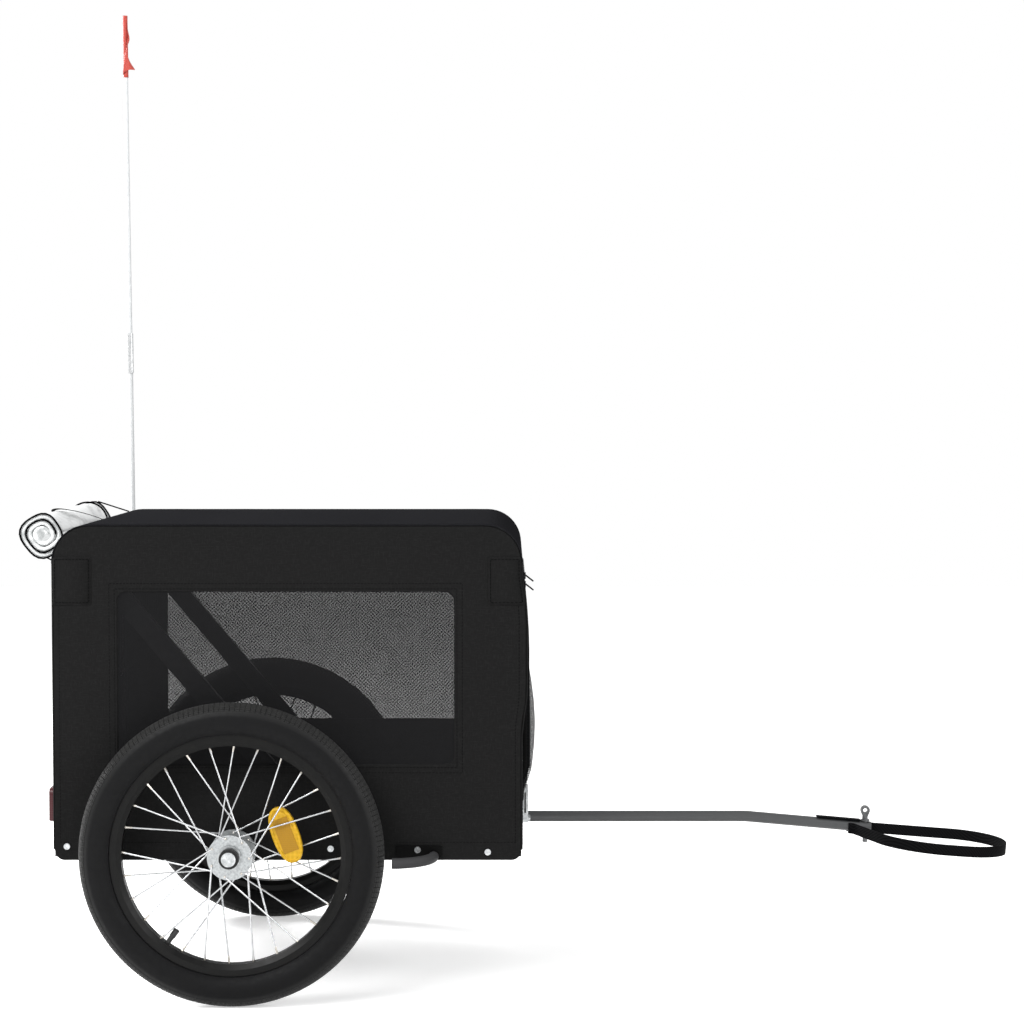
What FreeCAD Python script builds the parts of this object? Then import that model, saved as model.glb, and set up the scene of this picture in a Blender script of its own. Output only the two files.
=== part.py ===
import FreeCAD, Part
import math
import os

# Dog bike trailer with a folding cloth cabin.
# +X is the towing direction, +Y the trailer's left and +Z up, in millimetres.
# While building, X is counted from the wheel axle. Each piece is then shifted to the middle of the object.

V = FreeCAD.Vector

# Fits and cuts shared by all pieces
run_fit = 0.05
open_fit = 0.4
seat_gap = 0.3
overrun = 5.0

# Wheels
wheel_r = 200.0
wheel_stand = 43.0
tyre_width = 47.0
tyre_wall = 3.4
tread_wall = 5.0
bead_wall = 3.0
bead_r = 153.0
rim_flange_r = 158.5
rim_width = 23.0
rim_wall = 2.0
rim_side_r = 150.0
rim_inner_r = 143.5
rim_inner_width = 14.0
hub_width = 54.0
hub_end_r = 16.0
hub_barrel_r = 15.0
hub_clear_r = 8.0
hub_flange_r = 29.5
hub_flange_wall = 3.0
hub_flange_inset = 3.5
bearing_r = 14.0
bearing_width = 8.0
spoke_count = 28
spoke_crosses = 2
spoke_d = 2.3
spoke_turn = 4.9
spoke_circle_r = 25.5
spoke_grip = 1.0
valve_angle = 234.0
valve_stem_r = 3.4
valve_cap_r = 4.1
valve_reach = 21.0
valve_cap_length = 11.0
reflector_angle = 20.6
reflector_place_r = 76.0
reflector_long = 76.0
reflector_wide = 35.0
reflector_thick = 11.0
reflector_offset = 2.5
reflector_recess_share = 0.55
reflector_recess = 1.5

# Axles and their release buttons
axle_r = 6.35
axle_grip = 40.0
axle_head_r = 13.0
axle_head_length = 7.5
axle_head_floor = 1.5
button_r = 9.4
button_length = 6.0
button_stand = 3.5
spring_bore_r = 4.3
spring_bore_depth = 12.0
spring_r = 3.5
spring_wire_d = 1.0
spring_turns = 7
spring_samples = 24

# Cabin
cabin_length = 622.0
cabin_rear_share = 0.38746
cabin_width = 474.0
cabin_top = 630.0
cabin_corner_r = 50.0
cabin_foot_r = 13.0
hem_drop = 4.6
fabric = 1.6
window_rear = 87.0
window_front = 91.0
window_sill = 127.6
window_height = 229.0
window_corner_r = 14.0
mesh_wall = 0.6
mesh_border = 8.0
patch_wall = 1.2
patch_rear_length = 51.0
patch_front_length = 44.0
patch_height = 63.0
patch_drop = 43.0

# Doors in the end walls
door_sill = 74.3
door_height = 295.0
door_corner_r = 40.0
door_lap = 10.0
door_binding = 17.0
door_bulge = 17.0
door_edge_bulge = 1.5
bulge_height_share = 0.28
pull_inset = 5.0
pull_front_angles = (40.0, 72.0)
pull_rear_angles = (2.0, 34.0)
pull_length = 14.0
pull_width = 5.0
pull_wall = 2.0
pull_front_tilt = 52.0
pull_rear_tilt = 16.0
slider_length = 9.0
slider_height = 2.6

# Base frame
rail_r = 11.0
rail_wall = 1.5
spigot_length = 20.0
axle_block_length = 60.0
axle_block_height = 32.0
axle_block_depth = 27.0
axle_boss_r = 14.0
axle_boss_gap = 0.6
board_wall = 4.0
board_side_gap = 5.0
board_notch_length = 23.0
board_post_gap = 3.0
screw_shank_r = 2.5
screw_head_r = 4.2
screw_head = 2.2
screw_reach = 20.0
screw_shares = (0.0293, 0.9253)
screw_rises = (3.2, -4.5)

# Folding posts and braces
post_width = 20.0
post_wall = 12.0
post_gap = 1.0
post_inset = 5.3
post_foot_rise = 26.0
post_top_drop = 74.0
post_clear = 4.0
pin_r = 4.0
pin_head_r = 7.0
pin_head = 2.0
bracket_wall = 5.0
bracket_collar = 5.0
strut_width = 27.0
strut_wall = 12.0
strut_gap = 1.1
strut_reach = 367.4
strut_pivot_drop = 40.0
strut_angle = 49.9
strut_pin_r = 5.0
strut_tongue_r = 8.5
strut_tongue_length = 35.0
strut_lug_r = 11.0
strut_lug_wall = 6.0
strut_hook_gap = 1.0
top_leg_tail = 16.0
roof_bar_r = 8.0
roof_bar_wall = 1.2
roof_bar_shares = (0.1, 0.5, 0.9)

# Rain cover, rolled up and tied behind the roof
roll_r = 28.0
roll_pitch = 6.6
roll_turns = 3
roll_sheet = 2.2
roll_angle = 156.3
roll_right = 190.0
roll_left = 210.0
tie_d = 2.0
tie_shares = (0.175, 0.85)

# Wheel guards, reflectors and flag
guard_r = 7.0
guard_bend_r = 53.0
guard_gap = 63.0
guard_screw_back = 21.4
guard_screw_drop = 1.5
guard_drop = 10.0
guard_plate_wall = 2.0
guard_plate_length = 60.0
guard_plate_over = 10.6
guard_plate_rise = 4.6
rear_reflector_height = 45.0
rear_reflector_width = 28.0
rear_reflector_wall = 8.0
rear_reflector_rise = 38.7
rear_reflector_inset = 12.0
rear_reflector_gap = 12.0
rear_reflector_bevel = 3.0
pole_d = 6.0
pole_length = 1181.0
pole_lean = 0.58
pole_setback = 39.0
pole_side = 9.5
pole_sink = 10.0
socket_wall = 3.5
socket_length = 60.0
socket_floor = 4.0
ferrule_place = 645.0
ferrule_length = 60.0
ferrule_wall = 1.2
flag_hoist = 92.0
flag_fly = 54.0
flag_wave = 7.0
flag_wall = 1.2
flag_sleeve_wall = 1.0
flag_tail_share = 0.55

# Tow bar and hitch
tow_rise = 3.0
bracket_length = 8.6
bracket_width = 40.0
bracket_foot = 6.0
bracket_height = 49.0
bracket_plate = 3.0
bracket_head = 6.0
bracket_bolt_r = 3.0
bracket_bolt_head_r = 4.2
bracket_bolt_side = 14.5
bracket_bolt_reach = 12.0
spigot_r = 5.5
tow_spigot_length = 25.0
tow_bar_r = 7.75
tow_bar_wall = 1.5
tow_plug_length = 20.0
tow_straight = 309.1
tow_nose = 178.0
tow_nose_drop = 15.8
tow_bend_r = 120.0
hitch_inset = 8.0
hitch_pin_r = 4.0
hitch_pin_below = 2.0
hitch_tip_r = 3.5
hitch_tip_length = 12.0
hitch_collar_r = 6.5
hitch_collar = 2.0
hitch_neck = 9.0
hitch_eye_r = 6.6
hitch_eye_hole_r = 3.0
hitch_eye_wall = 7.0
strap_wall = 1.8
strap_width = 15.0
strap_drop = 2.4
strap_back = 25.0
strap_reach = 185.5
strap_leave = 18.3
strap_near = 134.0
strap_near_spread = 32.0
strap_far = 6.0
strap_far_spread = 100.0
strap_slope = 4.2
strap_root_bend_r = 8.0
strap_side_bend_r = 90.0
strap_end_bend_r = 66.0
strap_tail_length = 62.0
strap_tail_width = 14.0
strap_tail_gap = 0.2
strap_tail_back = 70.0

# Places that follow from the sizes above
rail_z = wheel_r
skin = fabric + seat_gap
side_y = cabin_width / 2
rail_y = side_y - skin - rail_r
cabin_rear = -cabin_length * cabin_rear_share
cabin_front = cabin_rear + cabin_length
frame_rear = cabin_rear + skin + rail_r
frame_front = cabin_front - skin - rail_r
hem_z = rail_z - rail_r - hem_drop
guard_root_x = wheel_r + guard_gap
corner_z = cabin_top - cabin_corner_r
top_rail_z = cabin_top - skin - rail_r
top_bend_r = cabin_corner_r - skin - rail_r
post_rear_x = frame_rear + post_inset
post_front_x = frame_front - post_inset
post_foot_z = rail_z + post_foot_rise
post_top_z = cabin_top - post_top_drop
knee_z = (post_foot_z + post_top_z) / 2
strut_outer_y = rail_y - rail_r - strut_gap
strut_inner_y = strut_outer_y - strut_wall
lower_outer_y = strut_inner_y - post_clear
lower_inner_y = lower_outer_y - post_wall
upper_outer_y = lower_inner_y - post_gap
upper_inner_y = upper_outer_y - post_wall
strut_foot_x = cabin_rear + strut_reach
strut_pivot_z = cabin_top - strut_pivot_drop
strut_fall = strut_pivot_z - rail_z
strut_pivot_x = strut_foot_x - strut_fall / math.tan(math.radians(strut_angle))
board_z = rail_z + rail_r
wheel_y = side_y + wheel_stand
hub_end_y = wheel_y + hub_width / 2
boss_end_y = wheel_y - hub_width / 2 - axle_boss_gap
head_inner_y = hub_end_y + seat_gap
head_outer_y = head_inner_y + axle_head_length
head_floor_y = head_inner_y + axle_head_floor
button_outer_y = head_outer_y + button_stand
button_inner_y = button_outer_y - button_length
window_length = cabin_length - window_rear - window_front
door_margin = rear_reflector_inset + rear_reflector_width + rear_reflector_gap + door_lap
door_width = cabin_width - 2 * door_margin
door_bottom = hem_z + door_sill
door_top = door_bottom + door_height
pole_x = cabin_rear + pole_setback
tow_z = rail_z + tow_rise
tow_start = cabin_front + seat_gap + bracket_length + seat_gap
tow_bend_x = tow_start + tow_straight
tow_end_x = tow_bend_x + tow_nose
hitch_x = tow_end_x - hitch_inset
hitch_z = tow_z - tow_nose_drop * (hitch_x - tow_bend_x) / tow_nose
strap_z = hitch_z - strap_drop
strap_front = hitch_x + strap_reach
tie_ring_r = roll_r + tie_d / 2 + seat_gap
roll_place = cabin_corner_r + seat_gap + tie_d + seat_gap + roll_r
roll_x = cabin_rear + cabin_corner_r + roll_place * math.cos(math.radians(roll_angle))
roll_z = corner_z + roll_place * math.sin(math.radians(roll_angle))
object_rear = roll_x - tie_ring_r - tie_d / 2
strap_lean = math.radians(strap_slope)
strap_edge = (strap_reach + strap_wall / 2) * math.cos(strap_lean) + strap_width / 2 * math.sin(strap_lean)
object_front = hitch_x + strap_edge
origin_x = (object_rear + object_front) / 2

pieces = {}


# Shapes

def box(x0, x1, y0, y1, z0, z1):
    return Part.makeBox(x1 - x0, y1 - y0, z1 - z0, V(x0, y0, z0))


def rod(a, b, r):
    return Part.makeCylinder(r, (b - a).Length, a, b - a)


def rod_y(x, z, y0, y1, r):
    return rod(V(x, y0, z), V(x, y1, z), r)


def rod_x(x0, x1, y, z, r):
    return rod(V(x0, y, z), V(x1, y, z), r)


def mirrored(shape):
    return shape.mirror(V(0, 0, 0), V(0, 1, 0))


def pair(shape):
    return [shape, mirrored(shape)]


def fused(shapes):
    return shapes[0].fuse(shapes[1:]).removeSplitter()


def closed_face(start, legs):
    # Each leg is an end point, or a point on an arc followed by the arc's end point.
    edges = []
    here = start
    for leg in legs + [[start]]:
        if (leg[-1] - here).Length < Part.Precision.confusion():
            continue
        if len(leg) == 2:
            edges.append(Part.Arc(here, leg[0], leg[1]).toShape())
        else:
            edges.append(Part.LineSegment(here, leg[0]).toShape())
        here = leg[-1]
    return Part.Face(Part.Wire(edges))


def rounded_plate(x0, x1, z0, z1, r, y0, y1):
    # A plate in the XZ plane with its four corners rounded.
    turn = r * (1 - math.sqrt(2) / 2)
    legs = [
        [V(x1 - r, y0, z0)],
        [V(x1 - turn, y0, z0 + turn), V(x1, y0, z0 + r)],
        [V(x1, y0, z1 - r)],
        [V(x1 - turn, y0, z1 - turn), V(x1 - r, y0, z1)],
        [V(x0 + r, y0, z1)],
        [V(x0 + turn, y0, z1 - turn), V(x0, y0, z1 - r)],
        [V(x0, y0, z0 + r)],
        [V(x0 + turn, y0, z0 + turn), V(x0 + r, y0, z0)],
    ]
    return closed_face(V(x0 + r, y0, z0), legs).extrude(V(0, y1 - y0, 0))


def end_plate(y0, y1, z0, z1, r, x0, x1):
    # The same rounded plate in the YZ plane.
    plate = rounded_plate(y0, y1, z0, z1, r, 0, x1 - x0)
    plate.rotate(V(0, 0, 0), V(0, 0, 1), 90)
    return plate.translated(V(x1, 0, 0))


def link(xa, za, ra, xb, zb, rb, y0, y1):
    # A flat bar whose round ends are joined by their outer tangents.
    length = math.hypot(xb - xa, zb - za)
    along = math.atan2(zb - za, xb - xa)
    spread = math.acos((ra - rb) / length)
    corners = []
    for x, z, r, angle in (
        (xa, za, ra, along + spread),
        (xa, za, ra, along - spread),
        (xb, zb, rb, along - spread),
        (xb, zb, rb, along + spread),
    ):
        corners.append(V(x + r * math.cos(angle), y0, z + r * math.sin(angle)))
    web = Part.Face(Part.makePolygon(corners + corners[:1])).extrude(V(0, y1 - y0, 0))
    return fused([web, rod_y(xa, za, y0, y1, ra), rod_y(xb, zb, y0, y1, rb)])


def bent_path(points, radii):
    # Straight runs joined by tangent arcs, one radius for each inner point.
    edges = []
    here = points[0]
    for i, r in enumerate(radii):
        corner = points[i + 1]
        back = (points[i] - corner).normalize()
        ahead = (points[i + 2] - corner).normalize()
        half = back.getAngle(ahead) / 2
        trim = r / math.tan(half)
        enter = corner + back * trim
        leave = corner + ahead * trim
        inward = (back + ahead).normalize()
        middle = corner + inward * (r / math.sin(half) - r)
        if (enter - here).Length > Part.Precision.confusion():
            edges.append(Part.LineSegment(here, enter).toShape())
        edges.append(Part.Arc(enter, middle, leave).toShape())
        here = leave
    if (points[-1] - here).Length > Part.Precision.confusion():
        edges.append(Part.LineSegment(here, points[-1]).toShape())
    return Part.Wire(edges)


def swept(path, profile):
    return path.makePipeShell([profile], True, False)


def round_bar(points, radii, r):
    ahead = points[1] - points[0]
    profile = Part.Wire(Part.Circle(points[0], ahead, r).toShape())
    return Part.Solid(swept(bent_path(points, radii), profile))


def turned(points_and_arcs):
    # A solid of revolution about Y, from an outline in distance along Y and radius.
    start, legs = points_and_arcs
    vectors = [[V(0, y, r) for y, r in leg] for leg in legs]
    face = closed_face(V(0, start[0], start[1]), vectors)
    return face.revolve(V(0, 0, 0), V(0, 1, 0), 360)


def on_right_wheel(shape):
    return shape.translated(V(0, -wheel_y, rail_z))


def add_pair_of_nodes(name, right_solids):
    pieces["right_" + name] = right_solids
    pieces["left_" + name] = [mirrored(solid) for solid in right_solids]


# Wheels, built about Y at the origin with the outer side towards -Y

def tyre():
    half = tyre_width / 2
    bead = rim_width / 2 - rim_wall - run_fit
    inner_bead = bead - bead_wall
    seat_r = rim_flange_r + seat_gap
    centre_r = wheel_r - half
    foot = math.sqrt(half ** 2 - (centre_r - seat_r) ** 2)
    inner_half = half - tyre_wall
    inner_top = wheel_r - tread_wall
    inner_foot_r = seat_r + bead_wall
    legs = [
        [(bead, seat_r)],
        [(foot, seat_r)],
        [(half, centre_r), (0, wheel_r)],
        [(-half, centre_r), (-foot, seat_r)],
        [(-bead, seat_r)],
        [(-bead, bead_r)],
        [(-inner_bead, bead_r)],
        [(-inner_bead, inner_foot_r)],
        [(-inner_half, centre_r), (0, inner_top)],
        [(inner_half, centre_r), (inner_bead, inner_foot_r)],
        [(inner_bead, bead_r)],
    ]
    return turned(((bead, bead_r), legs))


def rim():
    half = rim_width / 2
    bed = half - rim_wall
    bed_r = bead_r - run_fit
    inner = rim_inner_width / 2
    legs = [
        [(-bed, rim_flange_r)],
        [(-bed, bed_r)],
        [(bed, bed_r)],
        [(bed, rim_flange_r)],
        [(half, rim_flange_r)],
        [(half, rim_side_r)],
        [(inner, rim_inner_r)],
        [(-inner, rim_inner_r)],
        [(-half, rim_side_r)],
    ]
    return turned(((-half, rim_flange_r), legs))


def hub():
    end = hub_width / 2
    flange_outer = end - hub_flange_inset
    flange_inner = flange_outer - hub_flange_wall
    seat = end - bearing_width
    right = [
        [(-end, hub_end_r)],
        [(-flange_outer, hub_end_r)],
        [(-flange_outer, hub_flange_r)],
        [(-flange_inner, hub_flange_r)],
        [(-flange_inner, hub_barrel_r)],
    ]
    left = [[(-y, r)] for (y, r), in reversed(right)]
    bore = [
        [(end, bearing_r)],
        [(seat, bearing_r)],
        [(seat, hub_clear_r)],
        [(-seat, hub_clear_r)],
        [(-seat, bearing_r)],
    ]
    return turned(((-end, bearing_r), right + left + bore))


def bearings():
    seat = hub_width / 2 - bearing_width
    ring = rod_y(0, 0, seat, seat + bearing_width, bearing_r)
    ring = ring.cut(rod_y(0, 0, seat - overrun, seat + bearing_width + overrun, axle_r + run_fit))
    return pair(ring)


def round_point(r, angle, y):
    return V(r * math.cos(math.radians(angle)), y, r * math.sin(math.radians(angle)))


def spokes():
    per_side = spoke_count // 2
    step = 360.0 / per_side
    flange_y = hub_width / 2 - hub_flange_inset - hub_flange_wall / 2
    offset = (hub_flange_wall + spoke_d) / 2
    solids = []
    for side in (-1, 1):
        start_angle = step / 4 * side + spoke_turn
        for i in range(per_side):
            lead = 1 if i % 2 == 0 else -1
            angle = start_angle + i * step
            hub_end = round_point(spoke_circle_r, angle, side * (flange_y + lead * offset))
            rim_angle = angle + lead * spoke_crosses * step
            rim_end = round_point(rim_inner_r + spoke_grip, rim_angle, side * spoke_d)
            solids.append(rod(hub_end, rim_end, spoke_d / 2))
    return solids


def valve():
    outer = round_point(rim_inner_r - run_fit, valve_angle, 0)
    cap = round_point(rim_inner_r - valve_reach + valve_cap_length, valve_angle, 0)
    tip = round_point(rim_inner_r - valve_reach, valve_angle, 0)
    return fused([rod(outer, cap, valve_stem_r), rod(cap, tip, valve_cap_r)])


def wheel_reflector():
    y0 = -reflector_thick / 2 - reflector_offset
    y1 = y0 + reflector_thick
    r = reflector_wide / 2
    reach = reflector_long / 2 - r
    plate = link(0, -reach, r, 0, reach, r, y0, y1)
    inner_r = r * reflector_recess_share
    plate = plate.cut(link(0, -reach, inner_r, 0, reach, inner_r, y0 - overrun, y0 + reflector_recess))
    plate.translate(V(reflector_place_r, 0, 0))
    plate.rotate(V(0, 0, 0), V(0, -1, 0), reflector_angle)
    return plate


def make_wheels():
    add_pair_of_nodes("tyre", [on_right_wheel(tyre())])
    add_pair_of_nodes("rim", [on_right_wheel(rim())])
    add_pair_of_nodes("hub", [on_right_wheel(hub())])
    add_pair_of_nodes("bearings", [on_right_wheel(ring) for ring in bearings()])
    add_pair_of_nodes("spokes", [on_right_wheel(spoke) for spoke in spokes()])
    add_pair_of_nodes("valve", [on_right_wheel(valve())])
    add_pair_of_nodes("wheel_reflector", [on_right_wheel(wheel_reflector())])


# Axles

def axle_shaft():
    shaft = rod_y(0, rail_z, -head_floor_y, -boss_end_y + axle_grip, axle_r)
    head = rod_y(0, rail_z, -head_outer_y, -head_inner_y, axle_head_r)
    recess = rod_y(0, rail_z, -head_outer_y - overrun, -head_floor_y, button_r + run_fit)
    bore = rod_y(0, rail_z, -head_floor_y - overrun, -head_floor_y + spring_bore_depth, spring_bore_r)
    return fused([shaft, head]).cut(recess).cut(bore)


def axle_button():
    return rod_y(0, rail_z, -button_outer_y, -button_inner_y, button_r)


def button_spring():
    # A coil of quarter turns between the button and the floor of its bore.
    wire_r = spring_wire_d / 2
    low = -button_inner_y + wire_r + run_fit
    high = -head_floor_y + spring_bore_depth - wire_r - run_fit
    steps = spring_turns * 4

    def place(k):
        angle = 360.0 * k / 4
        return round_point(spring_r, angle, low + (high - low) * k / steps) + V(0, 0, rail_z)

    arcs = [Part.Arc(place(k), place(k + 0.5), place(k + 1)).toShape() for k in range(steps)]
    path = Part.Wire(arcs)
    ahead = arcs[0].tangentAt(arcs[0].FirstParameter)
    profile = Part.Wire(Part.Circle(place(0), ahead, wire_r).toShape())
    print("button spring, least gap between turns: %.2f mm" % least_gap(path))
    return Part.Solid(swept(path, profile))


def least_gap(path):
    # Measured on points of the wire's middle line that lie more than half a turn apart.
    points = path.discretize(spring_turns * spring_samples + 1)
    apart = spring_samples // 2 + 1
    least = min(p.distanceToPoint(q) for i, p in enumerate(points) for q in points[i + apart:])
    return least - spring_wire_d


def make_axles():
    pieces["axle_shafts"] = pair(axle_shaft())
    add_pair_of_nodes("button_spring", [button_spring()])
    add_pair_of_nodes("axle_button", [axle_button()])


# Base frame

def rail(x0, x1):
    outer = rod_x(x0, x1, -rail_y, rail_z, rail_r)
    return outer.cut(rod_x(x0 - overrun, x1 + overrun, -rail_y, rail_z, rail_r - rail_wall))


def side_rails():
    half = axle_block_length / 2
    return [rail(frame_rear + rail_r, -half), rail(half, frame_front - rail_r)]


def cross_tube(x):
    reach = rail_y - rail_r
    outer = rod_y(x, rail_z, -reach, reach, rail_r)
    return outer.cut(rod_y(x, rail_z, -reach - overrun, reach + overrun, rail_r - rail_wall))


def corner_block(x, inward):
    plug_r = rail_r - rail_wall - run_fit
    y = -rail_y
    block = box(x - rail_r, x + rail_r, y - rail_r, y + rail_r, rail_z - rail_r, rail_z + rail_r)
    reach = rail_r + spigot_length
    along = rod(V(x, y, rail_z), V(x + inward * reach, y, rail_z), plug_r)
    across = rod_y(x, rail_z, y, y + reach, plug_r)
    return fused([block, along, across])


def axle_block():
    half = axle_block_length / 2
    rise = axle_block_height / 2
    plug_r = rail_r - rail_wall - run_fit
    outer = rail_y + rail_r
    block = box(-half, half, -outer, -outer + axle_block_depth, rail_z - rise, rail_z + rise)
    rails = rod_x(-half - spigot_length, half + spigot_length, -rail_y, rail_z, plug_r)
    boss = rod_y(0, rail_z, -boss_end_y, -outer, axle_boss_r)
    body = fused([block, rails, boss])
    bore = rod_y(0, rail_z, -boss_end_y - overrun, -rail_y + axle_grip + overrun, axle_r + run_fit)
    return body.cut(bore)


def axle_cross_tube():
    reach = rail_y + rail_r - axle_block_depth
    outer = rod_y(0, rail_z, -reach, reach, rail_r)
    return outer.cut(rod_y(0, rail_z, -reach - overrun, reach + overrun, rail_r - rail_wall))


def floor_board():
    half = strut_inner_y - board_side_gap
    notch_y = upper_inner_y - board_post_gap
    rear_notch = frame_rear + board_notch_length
    front_notch = frame_front - board_notch_length
    plan = [
        V(frame_rear, -notch_y, board_z),
        V(rear_notch, -notch_y, board_z),
        V(rear_notch, -half, board_z),
        V(front_notch, -half, board_z),
        V(front_notch, -notch_y, board_z),
        V(frame_front, -notch_y, board_z),
    ]
    plan += [V(p.x, -p.y, p.z) for p in reversed(plan)]
    return Part.Face(Part.makePolygon(plan + plan[:1])).extrude(V(0, 0, board_wall))


def post_bracket(x, tube_x):
    # Collar on a cross tube, an ear beside the post and the riveted pin of the post.
    outer = -lower_outer_y - post_gap
    collar_r = rail_r + bracket_collar
    plate = link(tube_x, rail_z, collar_r, x, post_foot_z, post_width / 2, outer - bracket_wall, outer)
    end = -lower_inner_y + post_gap
    pin = rod_y(x, post_foot_z, outer - bracket_wall, end, pin_r)
    head = rod_y(x, post_foot_z, end, end + pin_head, pin_head_r)
    bore = rod_y(tube_x, rail_z, outer - bracket_wall - overrun, outer + overrun, rail_r + run_fit)
    saddle = plate.common(box(frame_rear - rail_r, frame_front + rail_r, outer - bracket_wall, outer,
                              rail_z, post_top_z))
    return fused([saddle, pin, head]).cut(bore)


def hem_screws():
    places = [(cabin_rear + cabin_length * share, rise) for share, rise in zip(screw_shares, screw_rises)]
    places.append((guard_root_x - guard_screw_back, -guard_screw_drop))
    solids = [screw(x, rail_z + rise, screw_shank_r, screw_reach) for x, rise in places]
    solids.append(screw(strut_foot_x, rail_z, pin_r, side_y - strut_inner_y + seat_gap))
    return solids + [mirrored(solid) for solid in solids]


def screw(x, z, r, reach):
    head = rod_y(x, z, -side_y - screw_head, -side_y, screw_head_r)
    return fused([head, rod_y(x, z, -side_y, -side_y + reach, r)])


def guard_points():
    z = rail_z - guard_drop
    tip_y = -side_y - guard_bend_r
    return [
        V(guard_root_x, -rail_y, z),
        V(guard_root_x, tip_y, z),
        V(guard_root_x - guard_bend_r, tip_y, z),
    ]


def wheel_guard():
    # A bent bar on a flat plate, which a hem screw holds.
    bar = round_bar(guard_points(), [guard_bend_r], guard_r)
    x1 = guard_root_x + guard_plate_over
    plate = box(x1 - guard_plate_length, x1,
                -side_y - guard_plate_wall, -side_y, rail_z - rail_r, rail_z + guard_plate_rise)
    guard = fused([bar, plate]).cut(rod_x(0, cabin_front, -rail_y, rail_z, rail_r + run_fit))
    screw_x = guard_root_x - guard_screw_back
    screw_z = rail_z - guard_screw_drop
    return guard.cut(rod_y(screw_x, screw_z, -side_y - overrun, -side_y, screw_head_r + seat_gap))


def make_base():
    rails = side_rails()
    pieces["base_side_rails"] = rails + [mirrored(solid) for solid in rails]
    front_tube = cross_tube(frame_front)
    front_tube = front_tube.cut(rod_x(frame_front, cabin_front, 0, tow_z, spigot_r + seat_gap))
    pieces["base_cross_tubes"] = [cross_tube(frame_rear), front_tube]
    blocks = [corner_block(frame_rear, 1), corner_block(frame_front, -1), axle_block()]
    pieces["base_connectors"] = blocks + [mirrored(solid) for solid in blocks]
    pieces["axle_cross_tube"] = [axle_cross_tube()]
    brackets = [post_bracket(post_rear_x, frame_rear), post_bracket(post_front_x, frame_front)]
    pieces["post_brackets"] = brackets + [mirrored(solid) for solid in brackets]
    pieces["floor_board"] = [floor_board()]
    pieces["hem_screws"] = hem_screws()
    pieces["wheel_guards"] = pair(wheel_guard())


# Cabin cloth

def cabin_profile(inset, bottom, foot_r, y):
    # The cabin's side outline, drawn in from the outside by the inset.
    x0 = cabin_rear + inset
    x1 = cabin_front - inset
    top = cabin_top - inset
    r = cabin_corner_r - inset
    turn = r * (1 - math.sqrt(2) / 2)
    foot = foot_r * (1 - math.sqrt(2) / 2)
    legs = [
        [V(x1 - foot_r, y, bottom)],
        [V(x1 - foot, y, bottom + foot), V(x1, y, bottom + foot_r)],
        [V(x1, y, corner_z)],
        [V(x1 - turn, y, top - turn), V(x1 - r, y, top)],
        [V(x0 + r, y, top)],
        [V(x0 + turn, y, top - turn), V(x0, y, corner_z)],
        [V(x0, y, bottom + foot_r)],
        [V(x0 + foot, y, bottom + foot), V(x0 + foot_r, y, bottom)],
    ]
    return closed_face(V(x0 + foot_r, y, bottom), legs)


def window_box(border, y0, y1):
    x0 = cabin_rear + window_rear - border
    z0 = hem_z + window_sill - border
    x1 = x0 + window_length + 2 * border
    z1 = z0 + window_height + 2 * border
    return rounded_plate(x0, x1, z0, z1, window_corner_r, y0, y1)


def side_panel():
    panel = cabin_profile(skin, hem_z, cabin_foot_r, -side_y).extrude(V(0, fabric, 0))
    outer = -side_y - overrun
    inner = -side_y + overrun
    panel = panel.cut(window_box(0, outer, inner))
    notch_r = axle_boss_r + seat_gap
    panel = panel.cut(link(0, rail_z, notch_r, 0, rail_z - rail_r, notch_r + seat_gap, outer, inner))
    guard = rod_y(guard_root_x, rail_z - guard_drop, outer, inner, guard_r + seat_gap)
    return panel.cut(guard)


def window_mesh():
    inner = -side_y + fabric + run_fit
    return window_box(mesh_border, inner, inner + mesh_wall)


def corner_patches():
    top = cabin_top - patch_drop
    rear = box(cabin_rear + skin, cabin_rear + skin + patch_rear_length,
               -side_y - patch_wall, -side_y, top - patch_height, top)
    front = box(cabin_front - skin - patch_front_length, cabin_front - skin,
                -side_y - patch_wall, -side_y, top - patch_height, top)
    return [rear, front, mirrored(rear), mirrored(front)]


def end_panel(x0, x1):
    panel = box(x0, x1, -side_y, side_y, hem_z + cabin_foot_r, corner_z - seat_gap)
    half = door_width / 2
    opening = end_plate(-half, half, door_bottom, door_top, door_corner_r, x0 - overrun, x1 + overrun)
    return panel.cut(opening)


def roof_cover():
    outside = cabin_profile(0, corner_z, 0, -side_y).extrude(V(0, cabin_width, 0))
    inside = cabin_profile(fabric, corner_z - overrun, 0, -side_y - overrun)
    return outside.cut(inside.extrude(V(0, cabin_width + 2 * overrun, 0)))


def rear_reflector():
    outer = side_y - rear_reflector_inset
    z0 = hem_z + rear_reflector_rise + rail_r
    plate = box(cabin_rear - rear_reflector_wall, cabin_rear, -outer, -outer + rear_reflector_width,
                z0, z0 + rear_reflector_height)
    back = [edge for edge in plate.Edges if edge.BoundBox.XMax < cabin_rear - rear_reflector_wall / 2]
    return plate.makeChamfer(rear_reflector_bevel, back)


def make_cloth():
    add_pair_of_nodes("side_panel", [side_panel()])
    add_pair_of_nodes("window_mesh", [window_mesh()])
    pieces["corner_patches"] = corner_patches()
    pieces["rear_panel"] = [end_panel(cabin_rear, cabin_rear + fabric)]
    front = end_panel(cabin_front - fabric, cabin_front)
    for y, r in ((0, spigot_r), (bracket_bolt_side, bracket_bolt_r), (-bracket_bolt_side, bracket_bolt_r)):
        front = front.cut(rod_x(frame_front, cabin_front + overrun, y, tow_z, r + seat_gap))
    pieces["front_panel"] = [front]
    pieces["roof_cover"] = [roof_cover()]
    pieces["rear_reflectors"] = pair(rear_reflector())


# Doors

def door_flap(x0, x1):
    half = door_width / 2 + door_lap
    return end_plate(-half, half, door_bottom - door_lap, door_top + door_lap, door_corner_r, x0, x1)


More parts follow.
